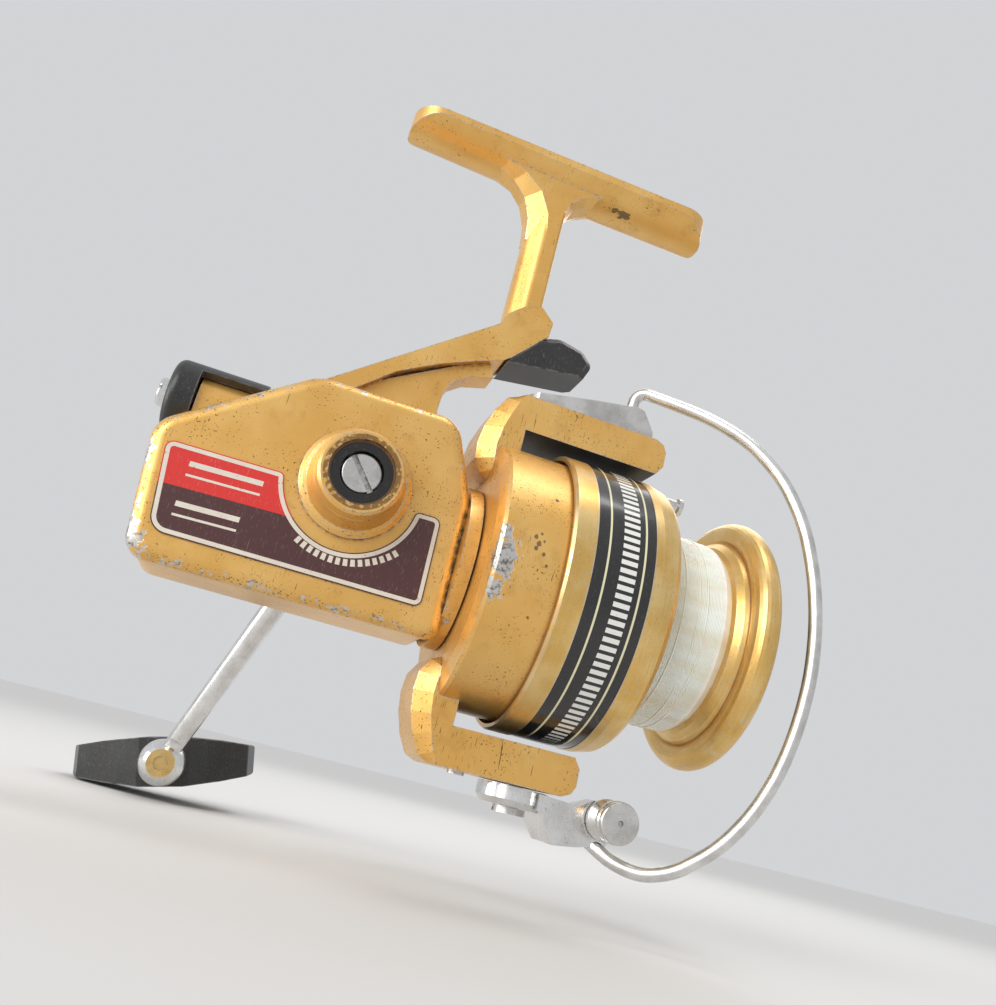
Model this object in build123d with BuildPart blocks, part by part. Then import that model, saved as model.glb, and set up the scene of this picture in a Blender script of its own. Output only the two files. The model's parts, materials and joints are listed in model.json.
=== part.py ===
"""Front-drag spinning reel: gold cast housing, skirted spool, full bail and a fixed crank.

Frame: millimetres, +Z up towards the rod, +X forward along the spool axis, +Y towards the handle.
The origin is the centre of the foot's flat top face.
"""
from build123d import *
from math import asin, cos, degrees, radians, sin, sqrt, tan
import os

os.makedirs("parts", exist_ok=True)

# ---------------------------------------------------------------- driving dimensions
FOOT_LENGTH = 73.6
FOOT_WIDTH = 14.8
FOOT_DEPTH = 6.4
AXIS_DROP = 98.8            # foot's top face down to the spool axis

BODY_NEAR_Y = -13.1         # outer face of the right-hand side
BODY_STEP_Y = -9.6          # shallow step where the rolled edge ends
SPLIT_Y = 8.0               # joint between the housing and its cover
BODY_FAR_Y = 13.0           # outer face of the cover
WALL = 2.0

CRANK_X = -26.5             # the crank's axis, along Y
CRANK_H = 7.5

SHAFT_R = 1.5
PINION_TEETH = 9
DRIVE_TEETH = 46
PINION_PITCH_R = 2.6
MESH_REACH = PINION_PITCH_R * DRIVE_TEETH / PINION_TEETH    # mesh centre, ahead of the crank axis

SKIRT_R = 29.4
SKIRT_REAR_X = 13.0
BAND_X0, BAND_X1 = 17.8, 29.8
SKIRT_FRONT_X = 35.8
LIP_R = 27.4
LIP_TUBE_R = 2.9
LIP_X = 56.7
LINE_R = 20.6

DRUM_R = 27.6
ARM_OUTER_H = 38.6
ARM_INNER_H = 30.9
ARM_HALF_WIDTH = 9.0
ARM_BEVEL = 2.5
PIVOT_X = 21.2              # bail pivots, on an axis along Z
BAIL_LEAN = -30.0           # degrees, plane of the closed bail from the XZ plane
WIRE_R = 1.35

RUN_GAP = 0.05              # radial running clearance
FREE_GAP = 0.3              # gap between bodies that only pass each other


# ---------------------------------------------------------------- construction planes
def side(y=0.0):
    """Plane facing -Y: u is X, v is the height above the spool axis."""
    return Plane(origin=(0, y, -AXIS_DROP), x_dir=(1, 0, 0), z_dir=(0, -1, 0))


def across(x=0.0):
    """Plane facing +X: u is Y, v is the height above the spool axis."""
    return Plane(origin=(x, 0, -AXIS_DROP), x_dir=(0, 1, 0), z_dir=(1, 0, 0))


def level(h=0.0):
    """Plane facing +Z at a height above the spool axis: u is X, v is Y."""
    return Plane(origin=(0, 0, h - AXIS_DROP))


def crank_side(y=0.0):
    """Plane facing -Y, centred on the crank's axis."""
    return Plane(origin=(CRANK_X, y, CRANK_H - AXIS_DROP), x_dir=(1, 0, 0), z_dir=(0, -1, 0))


SPOOL_AXIS = Axis((0, 0, -AXIS_DROP), (1, 0, 0))
CRANK_AXIS = Axis((CRANK_X, 0, CRANK_H - AXIS_DROP), (0, 1, 0))
CRANK_SECTION = Plane(origin=(CRANK_X, 0, CRANK_H - AXIS_DROP), x_dir=(1, 0, 0), z_dir=(0, 0, 1))


def outline(*corners):
    """Filled outline through the corners, facing up, inside the open sketch."""
    twice_area = sum(a[0] * b[1] - b[0] * a[1] for a, b in zip(corners, corners[1:] + corners[:1]))
    Polygon(*(corners if twice_area > 0 else corners[::-1]), align=None)


def round_corners(radii):
    """Rounds each corner of the open sketch's outline by its own radius."""
    for corner, radius in radii.items():
        fillet(vertices().sort_by_distance(corner)[0], radius)


def spin_x(*corners, mode=Mode.ADD):
    """Solid of revolution about the spool axis from (x, radius) corners."""
    with BuildSketch(side()) as profile:
        outline(*corners)
    revolve(profile.sketch, axis=SPOOL_AXIS, mode=mode)


def spin_crank(*corners, mode=Mode.ADD):
    """Solid of revolution about the crank's axis from (radius, y) corners."""
    with BuildSketch(CRANK_SECTION) as profile:
        outline(*corners)
    revolve(profile.sketch, axis=CRANK_AXIS, mode=mode)


def tube_x(x0, x1, outer, inner=0.0, mode=Mode.ADD):
    """Plain tube or rod along the spool axis."""
    with BuildSketch(across(x0)) as profile:
        Circle(outer)
        if inner:
            Circle(inner, mode=Mode.SUBTRACT)
    extrude(profile.sketch, amount=x1 - x0, mode=mode)


def tube_crank(y0, y1, outer, inner=0.0, mode=Mode.ADD):
    """Plain tube or rod along the crank's axis, from y0 up to y1."""
    with BuildSketch(crank_side(y1)) as profile:
        Circle(outer)
        if inner:
            Circle(inner, mode=Mode.SUBTRACT)
    extrude(profile.sketch, amount=y1 - y0, mode=mode)


def toothed_disc(teeth, root_r, tip_r, root_width, tip_width, phase=0.0):
    """Round blank with straight-sided teeth, inside the open sketch."""
    Circle(root_r)
    sunk = root_r - 0.3
    with PolarLocations(0, teeth, start_angle=phase):
        Polygon((sunk, -root_width / 2), (tip_r, -tip_width / 2), (tip_r, tip_width / 2),
                (sunk, root_width / 2), align=None)


def bend_radii(points, share=0.45):
    """Largest easy radius at each inner corner of a path."""
    radii = []
    for a, b, c in zip(points, points[1:], points[2:]):
        before, after = Vector(*b) - Vector(*a), Vector(*c) - Vector(*b)
        turn = radians(before.get_angle(after))
        radii.append(share * min(before.length, after.length) / tan(turn / 2))
    return radii


def finish(piece, name):
    piece.part.label = name
    export_step(piece.part, f"parts/{name}.step")


# ---------------------------------------------------------------- housing with stem and foot
BODY_CORNERS = {            # corner of the side view: its rounding
    (-3.2, -17.0): 2.9, (-3.4, 10.6): 5.0, (-10.1, 27.2): 5.6,
    (-38.9, 26.8): 9.0, (-64.9, 8.2): 6.0, (-62.3, -17.0): 4.3,
}
STEP_INSET = 0.7
NOSE_X = -1.2
NOSE_R = 17.0
BEARING_R = 6.0
BEARING_X0, BEARING_X1 = -7.0, -3.0
BUSH_R = 6.2
CRANK_SHAFT_R = 4.0
SCREW_SPOTS = [(-57.0, -11.4), (-7.9, -12.4), (-13.6, 22.4), (-52.0, 11.8)]
POST_R = 2.6
SCREW_R = 1.2
LEVER_H = 17.4              # axis of the anti-reverse lever, along X
LEVER_BLOCK_R = 5.7
LEVER_SCREW_R = 1.5
PAWL_H = 12.4
PAWL_PIN_R = 1.0


def body_outline(inset=0.0):
    """Side view of the body, with every corner rounded."""
    outline(*BODY_CORNERS)
    round_corners(BODY_CORNERS)
    if inset:
        offset(amount=-inset, mode=Mode.REPLACE)


with BuildPart() as foot_blank:
    half = FOOT_WIDTH / 2 + 0.4
    edge_h = AXIS_DROP - 0.9
    for x, depth in ((-FOOT_LENGTH / 2 - 1, 4.6), (0.0, FOOT_DEPTH), (FOOT_LENGTH / 2 + 1, 6.4)):
        with BuildSketch(across(x)):
            with BuildLine():
                Polyline((half, edge_h), (half, AXIS_DROP), (-half, AXIS_DROP), (-half, edge_h))
                ThreePointArc((-half, edge_h), (0, AXIS_DROP - depth), (half, edge_h))
            make_face()
    loft(ruled=True)
    with BuildSketch(level(80)):
        RectangleRounded(FOOT_LENGTH, FOOT_WIDTH, 6.4)
    extrude(amount=30, mode=Mode.INTERSECT)

STEM_HALF_WIDTH = 5.0
STEM_CORNERS = {
    (2.2, -STEM_HALF_WIDTH): 0.8, (2.2, STEM_HALF_WIDTH): 0.8,
    (-1.8, STEM_HALF_WIDTH): 2.4, (-5.0, 2.2): 2.4,
    (-5.0, -2.2): 2.4, (-1.8, -STEM_HALF_WIDTH): 2.4,
}
FLARE_MIDDLE_HALF_WIDTH = 2.2
FLARE_MIDDLE = [
    (-5.0, 78), (2.0, 82), (2.6, 86.5), (4.2, 89.6), (6.8, 91.8), (10.5, 93.4),
    (10.5, 95), (-16, 95), (-16, 93.9), (-11.0, 91.8), (-7.6, 88.4), (-5.6, 83.5),
]
FLARE_EDGE = [
    (-0.8, 78), (1.3, 82), (1.8, 86.5), (3.2, 89.8), (5.8, 92.2), (9.6, 94.0),
    (9.6, 95), (-14, 95), (-14, 94.6), (-9.0, 93.0), (-4.6, 89.8), (-1.8, 84.6),
]
with BuildPart() as stem_blank:
    with BuildSketch(level(50)):
        outline(*STEM_CORNERS)
        round_corners(STEM_CORNERS)
    extrude(amount=45)
    # flare under the foot, bevelled from its middle down to the stem's flat sides
    with BuildSketch(side(FLARE_MIDDLE_HALF_WIDTH)):
        outline(*FLARE_MIDDLE)
    extrude(amount=2 * FLARE_MIDDLE_HALF_WIDTH)
    for y in (-1, 1):
        with BuildSketch(side(y * FLARE_MIDDLE_HALF_WIDTH)):
            outline(*FLARE_MIDDLE)
        with BuildSketch(side(y * STEM_HALF_WIDTH)):
            outline(*FLARE_EDGE)
        loft(ruled=True)
    with BuildSketch(side(5.2)):
        outline((-41, 24), (-41, 26.4), (-6.0, 54.2), (-5.0, 57), (-1.8, 60), (2.2, 61.4), (5.4, 58.6),
                (5.2, 55.2), (-1.7, 47.4), (-3.2, 46.2), (-9.0, 43.8), (-16.0, 40.6), (-24.6, 35.6),
                (-33, 28), (-33, 24))
    extrude(amount=10.4)
    with BuildSketch(side(3.4)):
        outline((-36, 22), (-36, 28), (-6, 46), (-4.2, 42.2), (-9.5, 40.6), (-12.4, 38.4), (-13.8, 35.4),
                (-14.0, 31.0), (-13.2, 26.0), (-13.2, 22))
    extrude(amount=6.8)

with BuildPart() as housing:
    with BuildSketch(side(SPLIT_Y)):
        body_outline(STEP_INSET)
    extrude(amount=SPLIT_Y - BODY_STEP_Y)
    with BuildSketch(side(BODY_STEP_Y)):
        body_outline()
    extrude(amount=BODY_STEP_Y - BODY_NEAR_Y)
    fillet(housing.faces().sort_by(Axis.Y)[0].edges(), 2.6)
    add(stem_blank.part)
    add(foot_blank.part)
    # block that carries the anti-reverse lever
    with BuildSketch(across(-60.0)):
        with Locations((0, LEVER_H)):
            Circle(LEVER_BLOCK_R)
        with Locations((0, LEVER_H - 6)):
            Rectangle(2 * LEVER_BLOCK_R, 12)
    extrude(amount=22)
    # nose around the pinion bearing
    tube_x(-3.9, NOSE_X, NOSE_R)
    # crank boss on the right-hand side
    spin_crank((0, -11), (10.8, -11), (10.8, -13.9), (10.1, -14.5), (9.4, -14.7), (8.9, -16.6),
               (8.5, -18.6), (8.3, -19.0), (8.1, -21.6), (7.6, -22.2), (0, -22.2))
    # inner space, with the screw posts left standing
    with BuildSketch(side(SPLIT_Y)):
        body_outline(WALL + STEP_INSET)
        with Locations(*SCREW_SPOTS):
            Circle(POST_R, mode=Mode.SUBTRACT)
    extrude(amount=SPLIT_Y - BODY_NEAR_Y - WALL, mode=Mode.SUBTRACT)
    # bearing boss inside the front wall, then its stepped bore
    tube_x(-8.0, NOSE_X, 8.0)
    tube_x(-8.2, 0, 4.4, mode=Mode.SUBTRACT)
    tube_x(BEARING_X0, 0, BEARING_R, mode=Mode.SUBTRACT)
    tube_x(BEARING_X1, 0, 8.6, mode=Mode.SUBTRACT)
    # bore for the crank's bush, and pilot holes for the cover screws
    tube_crank(-23.0, -9.0, BUSH_R, mode=Mode.SUBTRACT)
    with BuildSketch(side(SPLIT_Y)):
        with Locations(*SCREW_SPOTS):
            Circle(SCREW_R)
    extrude(amount=11, mode=Mode.SUBTRACT)
    # pilot holes for the retainer screws, the pawl's pin and the lever's screw
    with BuildSketch(across(-6.5)):
        with PolarLocations(7.3, 2, start_angle=90):
            Circle(0.6)
    extrude(amount=6, mode=Mode.SUBTRACT)
    with BuildSketch(across(-8.5)):
        with Locations((0, PAWL_H)):
            Circle(PAWL_PIN_R)
    extrude(amount=4.6, mode=Mode.SUBTRACT)
    with BuildSketch(across(-61)):
        with Locations((0, LEVER_H)):
            Circle(LEVER_SCREW_R)
    extrude(amount=8, mode=Mode.SUBTRACT)
finish(housing, "housing")

# ---------------------------------------------------------------- fixed pieces on the housing
with BuildPart() as side_cover:
    with BuildSketch(side(BODY_FAR_Y)):
        body_outline(STEP_INSET)
    extrude(amount=BODY_FAR_Y - SPLIT_Y)
    fillet(side_cover.faces().sort_by(Axis.Y)[-1].edges(), 2.2)
    spin_crank((0, 12), (10.4, 12), (10.4, 13.8), (9.4, 14.4), (8.6, 18.2), (8.0, 18.8), (0, 18.8))
    with BuildSketch(side(SPLIT_Y + 2.6)):
        body_outline(WALL + STEP_INSET)
    extrude(amount=2.6, mode=Mode.SUBTRACT)
    with BuildSketch(side(SPLIT_Y + 2.7)):
        with Locations(*SCREW_SPOTS):
            Circle(POST_R)
    extrude(amount=2.7)
    tube_crank(7.0, 20.0, BUSH_R, mode=Mode.SUBTRACT)
    with BuildSketch(side(20)):
        with Locations(*SCREW_SPOTS):
            Circle(SCREW_R)
    extrude(amount=14, mode=Mode.SUBTRACT)
    with BuildSketch(side(20)):
        with Locations(*SCREW_SPOTS):
            Circle(2.5)
    extrude(amount=20 - 11.6, mode=Mode.SUBTRACT)
finish(side_cover, "side_cover")

with BuildPart() as cover_screws:
    with BuildSketch(side(13.1)):
        with Locations(*SCREW_SPOTS):
            Circle(2.3)
    extrude(amount=1.5)
    with BuildSketch(side(11.6)):
        with Locations(*SCREW_SPOTS):
            Circle(SCREW_R)
    extrude(amount=13.0)
    with BuildSketch(side(13.1)):
        with Locations(*SCREW_SPOTS):
            Rectangle(4.8, 0.7)
    extrude(amount=0.7, mode=Mode.SUBTRACT)
finish(cover_screws, "cover_screws")

LABEL_THICK = 0.3
LABEL_CORNERS = {(-61.4, 5.0): 1.6, (-8.8, 5.8): 1.6, (-8.4, -11.9): 1.6, (-59.2, -11.9): 3.4}
with BuildPart() as label_plate:
    with BuildSketch(side(BODY_NEAR_Y)):
        outline(*LABEL_CORNERS)
        round_corners(LABEL_CORNERS)
        with Locations((-26.8, 6.9)):
            Circle(12.9, mode=Mode.SUBTRACT)
        fillet(vertices().filter_by_position(Axis.Y, 5.1, 5.75), 1.1)
    extrude(amount=LABEL_THICK)
finish(label_plate, "label_plate")

# bumper under the front of the stem
BUMPER_ROUNDING = {(8.2, 56.0): 4.0, (13.8, 54.9): 2.6, (16.6, 52.2): 1.8}
with BuildPart() as bail_bumper:
    with BuildSketch(side(5.4)):
        outline((-1.6, 47.3), (5.3, 55.1), *BUMPER_ROUNDING, (15.2, 48.6), (-2.6, 46.0))
        round_corners(BUMPER_ROUNDING)
    extrude(amount=10.8)
    low, high = 54.6 - AXIS_DROP, 57 - AXIS_DROP
    chamfer(bail_bumper.faces().sort_by(Axis.Y)[0].edges().filter_by_position(Axis.Z, low, high), 1.3)
    chamfer(bail_bumper.faces().sort_by(Axis.Y)[-1].edges().filter_by_position(Axis.Z, low, high), 1.3)
    add(housing.part, mode=Mode.SUBTRACT)
finish(bail_bumper, "bail_bumper")

with BuildPart() as gear_bushing_right:
    tube_crank(-21.6, -9.8, BUSH_R, CRANK_SHAFT_R + RUN_GAP)
finish(gear_bushing_right, "gear_bushing_right")

with BuildPart() as gear_bushing_left:
    tube_crank(8.2, 18.6, BUSH_R, CRANK_SHAFT_R + RUN_GAP)
finish(gear_bushing_left, "gear_bushing_left")

with BuildPart() as bearing_outer_race:
    tube_x(BEARING_X0, BEARING_X1, BEARING_R, 5.3)
    spin_x((-5.0, 4.9), (-4.2, 5.1), (-4.2, 5.5), (-5.8, 5.5), (-5.8, 5.1), mode=Mode.SUBTRACT)
finish(bearing_outer_race, "bearing_outer_race")

with BuildPart() as bearing_retainer:
    tube_x(BEARING_X1, BEARING_X1 + 1.0, 8.4, 4.2)
    with BuildSketch(across(BEARING_X1)):
        with PolarLocations(7.3, 2, start_angle=90):
            Circle(0.6)
    extrude(amount=3, mode=Mode.SUBTRACT)
finish(bearing_retainer, "bearing_retainer")

with BuildPart() as retainer_screws:
    with BuildSketch(across(-2.0)):
        with PolarLocations(7.3, 2, start_angle=90):
            Circle(0.9)
    extrude(amount=0.6)
    with BuildSketch(across(-6.0)):
        with PolarLocations(7.3, 2, start_angle=90):
            Circle(0.6)
    extrude(amount=4.0)
finish(retainer_screws, "retainer_screws")

# ---------------------------------------------------------------- crank train
GEAR_FACE_Y = 3.0
GEAR_TOOTH = 0.8
GEAR_BLANK_R = 16.6
OSC_TEETH, CROSS_TEETH = 14, 28
TOOTH_MODULE = 0.75
CROSS_R = TOOTH_MODULE * CROSS_TEETH / 2
OSC_R = TOOTH_MODULE * OSC_TEETH / 2
CROSS_X = CRANK_X - sqrt((CROSS_R + OSC_R) ** 2 - CRANK_H ** 2)
MESH_ANGLE = degrees(asin(CRANK_H / (CROSS_R + OSC_R)))     # of the line between their centres
TRAIN_Y = -6.6              # +Y face of the two small gears
TRAIN_WIDTH = 2.6
CRANK_THROW = 4.0

with BuildPart() as drive_gear:
    tube_crank(GEAR_FACE_Y, GEAR_FACE_Y + 2.4, GEAR_BLANK_R)
    tube_crank(-19.6, 18.9, CRANK_SHAFT_R)
    tube_crank(-6.0, GEAR_FACE_Y + 0.1, 4.8)
    with BuildSketch(crank_side(GEAR_FACE_Y + 0.01)):
        for number in range(DRIVE_TEETH):
            turn = 360.0 / DRIVE_TEETH * number
            with Locations(Location((0, 0, 0), (0, 0, turn))):
                with Locations((MESH_REACH, -CRANK_H)):
                    Rectangle(2.8, 0.72)
    extrude(amount=GEAR_TOOTH, taper=9)
    with BuildSketch(crank_side(GEAR_FACE_Y + 2.4)):
        with PolarLocations(10.0, 6):
            Circle(2.2)
    extrude(amount=2.4, mode=Mode.SUBTRACT)
    tube_crank(-30, 30, 2.45, mode=Mode.SUBTRACT)
finish(drive_gear, "drive_gear")

with BuildPart() as oscillation_pinion:
    with BuildSketch(crank_side(TRAIN_Y)):
        toothed_disc(OSC_TEETH, OSC_R - 0.85, OSC_R + 0.6, 1.3, 0.5, MESH_ANGLE)
        Circle(CRANK_SHAFT_R, mode=Mode.SUBTRACT)
    extrude(amount=TRAIN_WIDTH)
finish(oscillation_pinion, "oscillation_pinion")

# crank arm: hub, tapered rod and end knuckle, leaning outwards
HUB_Y = 34.0
KNUCKLE = (-47.3, 62.0, -52.4)          # x, y, height above the spool axis
KNUCKLE_R = 5.6
KNOB_PIN_R = 1.9
KNOB_Y0 = KNUCKLE[1] + 4.9
KNOB_Y1 = KNUCKLE[1] + 29.0
ROD_FROM = Vector(CRANK_X, HUB_Y, CRANK_H - AXIS_DROP)
ROD_TO = Vector(KNUCKLE[0], KNUCKLE[1], KNUCKLE[2] - AXIS_DROP)
ROD_LENGTH = (ROD_TO - ROD_FROM).length


def knuckle_side(y=0.0):
    """Plane facing -Y, centred on the knob pin's axis."""
    return Plane(origin=(ROD_TO.X, y, ROD_TO.Z), x_dir=(1, 0, 0), z_dir=(0, -1, 0))


with BuildPart() as crank_arm:
    spin_crank((0, 19.2), (6.6, 19.2), (7.2, 19.8), (7.2, 21.2), (6.4, 22.0), (4.8, 26.0), (4.4, 35.6),
               (3.4, 37.6),
               (0, 38.4))
    rod_start = Plane(origin=ROD_FROM, z_dir=ROD_TO - ROD_FROM)
    with BuildSketch(rod_start.offset(2)):
        Circle(3.0)
    with BuildSketch(rod_start.offset(ROD_LENGTH)):
        Circle(2.3)
    loft(ruled=True)
    with Locations(ROD_TO):
        Sphere(KNUCKLE_R)
    for sign in (1, -1):
        with BuildSketch(knuckle_side(KNUCKLE[1] - sign * 4.5)):
            Circle(6)
        extrude(amount=sign * 5, mode=Mode.SUBTRACT)
    with BuildSketch(knuckle_side(KNUCKLE[1] + 8)):
        Circle(KNOB_PIN_R)
    extrude(amount=16, mode=Mode.SUBTRACT)
    # drive stub that goes into the gear's hollow shaft, tapped for the end screw
    tube_crank(-4.0, 19.3, 2.45)
    tube_crank(-9.0, 12.0, 1.3, mode=Mode.SUBTRACT)
finish(crank_arm, "crank_arm")

with BuildPart() as crank_screw:
    tube_crank(-21.2, -19.6, 3.85)
    fillet(crank_screw.faces().sort_by(Axis.Y)[0].edges(), 0.5)
    with BuildSketch(Plane(origin=(CRANK_X, -21.4, CRANK_H - AXIS_DROP), x_dir=(0.63, 0, -0.78),
                           z_dir=(0, -1, 0))):
        Rectangle(9, 1.1)
    extrude(amount=-1.2, mode=Mode.SUBTRACT)
    tube_crank(-19.6, -4.2, 2.4)
    tube_crank(-5.0, 11.0, 1.3)
finish(crank_screw, "crank_screw")

with BuildPart() as knob_pin:
    with BuildSketch(knuckle_side(KNUCKLE[1] - 5.1)):
        Circle(3.3)
    extrude(amount=-0.6)
    with BuildSketch(knuckle_side(KNUCKLE[1] - 5.1)):
        Circle(1.7)
    extrude(amount=-0.4, mode=Mode.SUBTRACT)
    with BuildSketch(knuckle_side(KNUCKLE[1] - 4.6)):
        Circle(KNOB_PIN_R)
    extrude(amount=KNUCKLE[1] - 4.6 - KNOB_Y1 - 0.2)
    with BuildSketch(knuckle_side(KNOB_Y1 + 0.2)):
        Circle(3.6)
    extrude(amount=-1.4)
finish(knob_pin, "knob_pin")

# paddle knob: narrow at the crank, wide at the outer end
KNOB_TILT = radians(13.4)
KNOB_X_DIR = (cos(KNOB_TILT), 0, sin(KNOB_TILT))
with BuildPart() as knob:
    with BuildSketch(Plane(origin=(ROD_TO.X, KNOB_Y1, ROD_TO.Z), x_dir=KNOB_X_DIR, z_dir=(0, -1, 0))):
        outline((-22.6, -3.6), (-14.0, -5.0), (-5.0, -5.9), (5.0, -5.9), (14.0, -5.0), (22.6, -3.6),
                (22.6, 3.6), (14.0, 5.0), (5.0, 5.9), (-5.0, 5.9), (-14.0, 5.0), (-22.6, 3.6))
        fillet(vertices(), 0.8)
    extrude(amount=KNOB_Y1 - KNOB_Y0)
    with BuildSketch(Plane(origin=(ROD_TO.X, 0, ROD_TO.Z), x_dir=KNOB_X_DIR, z_dir=(-sin(KNOB_TILT), 0,
                                                                                    cos(KNOB_TILT)))):
        outline((-6.0, KNOB_Y0), (6.0, KNOB_Y0), (10.5, KNOB_Y0 + 3.6), (20.6, KNOB_Y0 + 9.0),
                (22.6, KNOB_Y1 - 5),
                (20.6, KNOB_Y1), (-20.6, KNOB_Y1), (-22.6, KNOB_Y1 - 5), (-20.6, KNOB_Y0 + 9.0),
                (-10.5, KNOB_Y0 + 3.6))
        fillet(vertices(), 1.2)
    extrude(amount=8, both=True, mode=Mode.INTERSECT)
    with BuildSketch(knuckle_side(KNOB_Y1 + 1)):
        Circle(KNOB_PIN_R + RUN_GAP)
    extrude(amount=30, mode=Mode.SUBTRACT)
finish(knob, "knob")

# ---------------------------------------------------------------- crosswind gear and slider
def cross_side(y=0.0):
    """Plane facing -Y, centred on the crosswind gear."""
    return Plane(origin=(CROSS_X, y, -AXIS_DROP), x_dir=(1, 0, 0), z_dir=(0, -1, 0))


CROSS_POST_R = 2.0
with BuildPart() as crosswind_post:
    with BuildSketch(cross_side(TRAIN_Y + 0.9)):
        Circle(CROSS_POST_R)
    extrude(amount=5.2)
    with BuildSketch(cross_side(TRAIN_Y + 0.9)):
        Circle(2.8)
    extrude(amount=0.7)
finish(crosswind_post, "crosswind_post")

with BuildPart() as crosswind_gear:
    with BuildSketch(cross_side(TRAIN_Y)):
        toothed_disc(CROSS_TEETH, CROSS_R - 0.85, CROSS_R + 0.6, 1.3, 0.5,
                     MESH_ANGLE + 180.0 / CROSS_TEETH)
        Circle(CROSS_POST_R + RUN_GAP, mode=Mode.SUBTRACT)
    extrude(amount=TRAIN_WIDTH)
    with BuildSketch(cross_side(TRAIN_Y + 1.2)):
        with Locations((0, CRANK_THROW + 1.0)):
            Circle(1.2)
    extrude(amount=1.3)
finish(crosswind_gear, "crosswind_gear")

SLIDER_FACE_Y = TRAIN_Y + 1.6
with BuildPart() as slider_block:
    with BuildSketch(side(1.8)):
        with Locations((CROSS_X, 0)):
            RectangleRounded(8.0, 15.0, 1.0)
    extrude(amount=1.8 - SLIDER_FACE_Y)
    with BuildSketch(side(SLIDER_FACE_Y + 1.6)):
        with Locations((CROSS_X, 0)):
            SlotOverall(13.0, 2.8, rotation=90)
    extrude(amount=2, mode=Mode.SUBTRACT)
    tube_x(CROSS_X - 5, CROSS_X + 5, SHAFT_R, mode=Mode.SUBTRACT)
    with BuildSketch(level(-9)):
        with Locations((CROSS_X + 2.4, 0), (CROSS_X - 2.4, 0)):
            Circle(0.8)
    extrude(amount=9, mode=Mode.SUBTRACT)
finish(slider_block, "slider_block")

with BuildPart() as slider_screws:
    with BuildSketch(level(-7.9)):
        with Locations((CROSS_X + 2.4, 0), (CROSS_X - 2.4, 0)):
            Circle(1.3)
    extrude(amount=0.4)
    with BuildSketch(level(-7.6)):
        with Locations((CROSS_X + 2.4, 0), (CROSS_X - 2.4, 0)):
            Circle(0.8)
    extrude(amount=5.9)
finish(slider_screws, "slider_screws")

# ---------------------------------------------------------------- pinion, ratchet and inner race
with BuildPart() as pinion_gear:
    with BuildSketch(across(-15.2)):
        toothed_disc(PINION_TEETH, 2.1, 2.95, 0.95, 0.42, 180.0 / PINION_TEETH)
    extrude(amount=5.0)
    tube_x(-10.2, -9.4, 3.9)
    tube_x(-9.4, -0.9, 3.5)
    tube_x(-0.9, 7.6, 3.0)
    with BuildSketch(across(-0.9)):
        with Locations((3.6, 0), (-3.6, 0)):
            Rectangle(2.2, 7.0)
    extrude(amount=3.3, mode=Mode.SUBTRACT)
    tube_x(-16, 9, SHAFT_R + RUN_GAP, mode=Mode.SUBTRACT)
finish(pinion_gear, "pinion_gear")

RATCHET_TEETH = 12
RATCHET_R = 6.9
with BuildPart() as ratchet_wheel:
    with BuildSketch(across(-9.4)):
        Circle(5.9)
        with PolarLocations(0, RATCHET_TEETH):
            Polygon((5.0, -1.4), (RATCHET_R, 0.0), (5.0, 1.0), align=None)
        Circle(3.5, mode=Mode.SUBTRACT)
    extrude(amount=1.1)
finish(ratchet_wheel, "ratchet_wheel")

with BuildPart() as bearing_inner_race:
    tube_x(BEARING_X0, BEARING_X1, 4.2, 3.5)
    spin_x((-5.8, 4.4), (-5.8, 4.1), (-5.0, 3.95), (-4.2, 4.1), (-4.2, 4.4), mode=Mode.SUBTRACT)
finish(bearing_inner_race, "bearing_inner_race")

BALLS = 9
BALL_R = 0.5
with BuildPart() as bearing_balls:
    with Locations(Plane(origin=(-5.0, 0, -AXIS_DROP), x_dir=(0, 1, 0), z_dir=(1, 0, 0))):
        with PolarLocations(4.5, BALLS):
            Sphere(BALL_R)
finish(bearing_balls, "bearing_balls")

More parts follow.
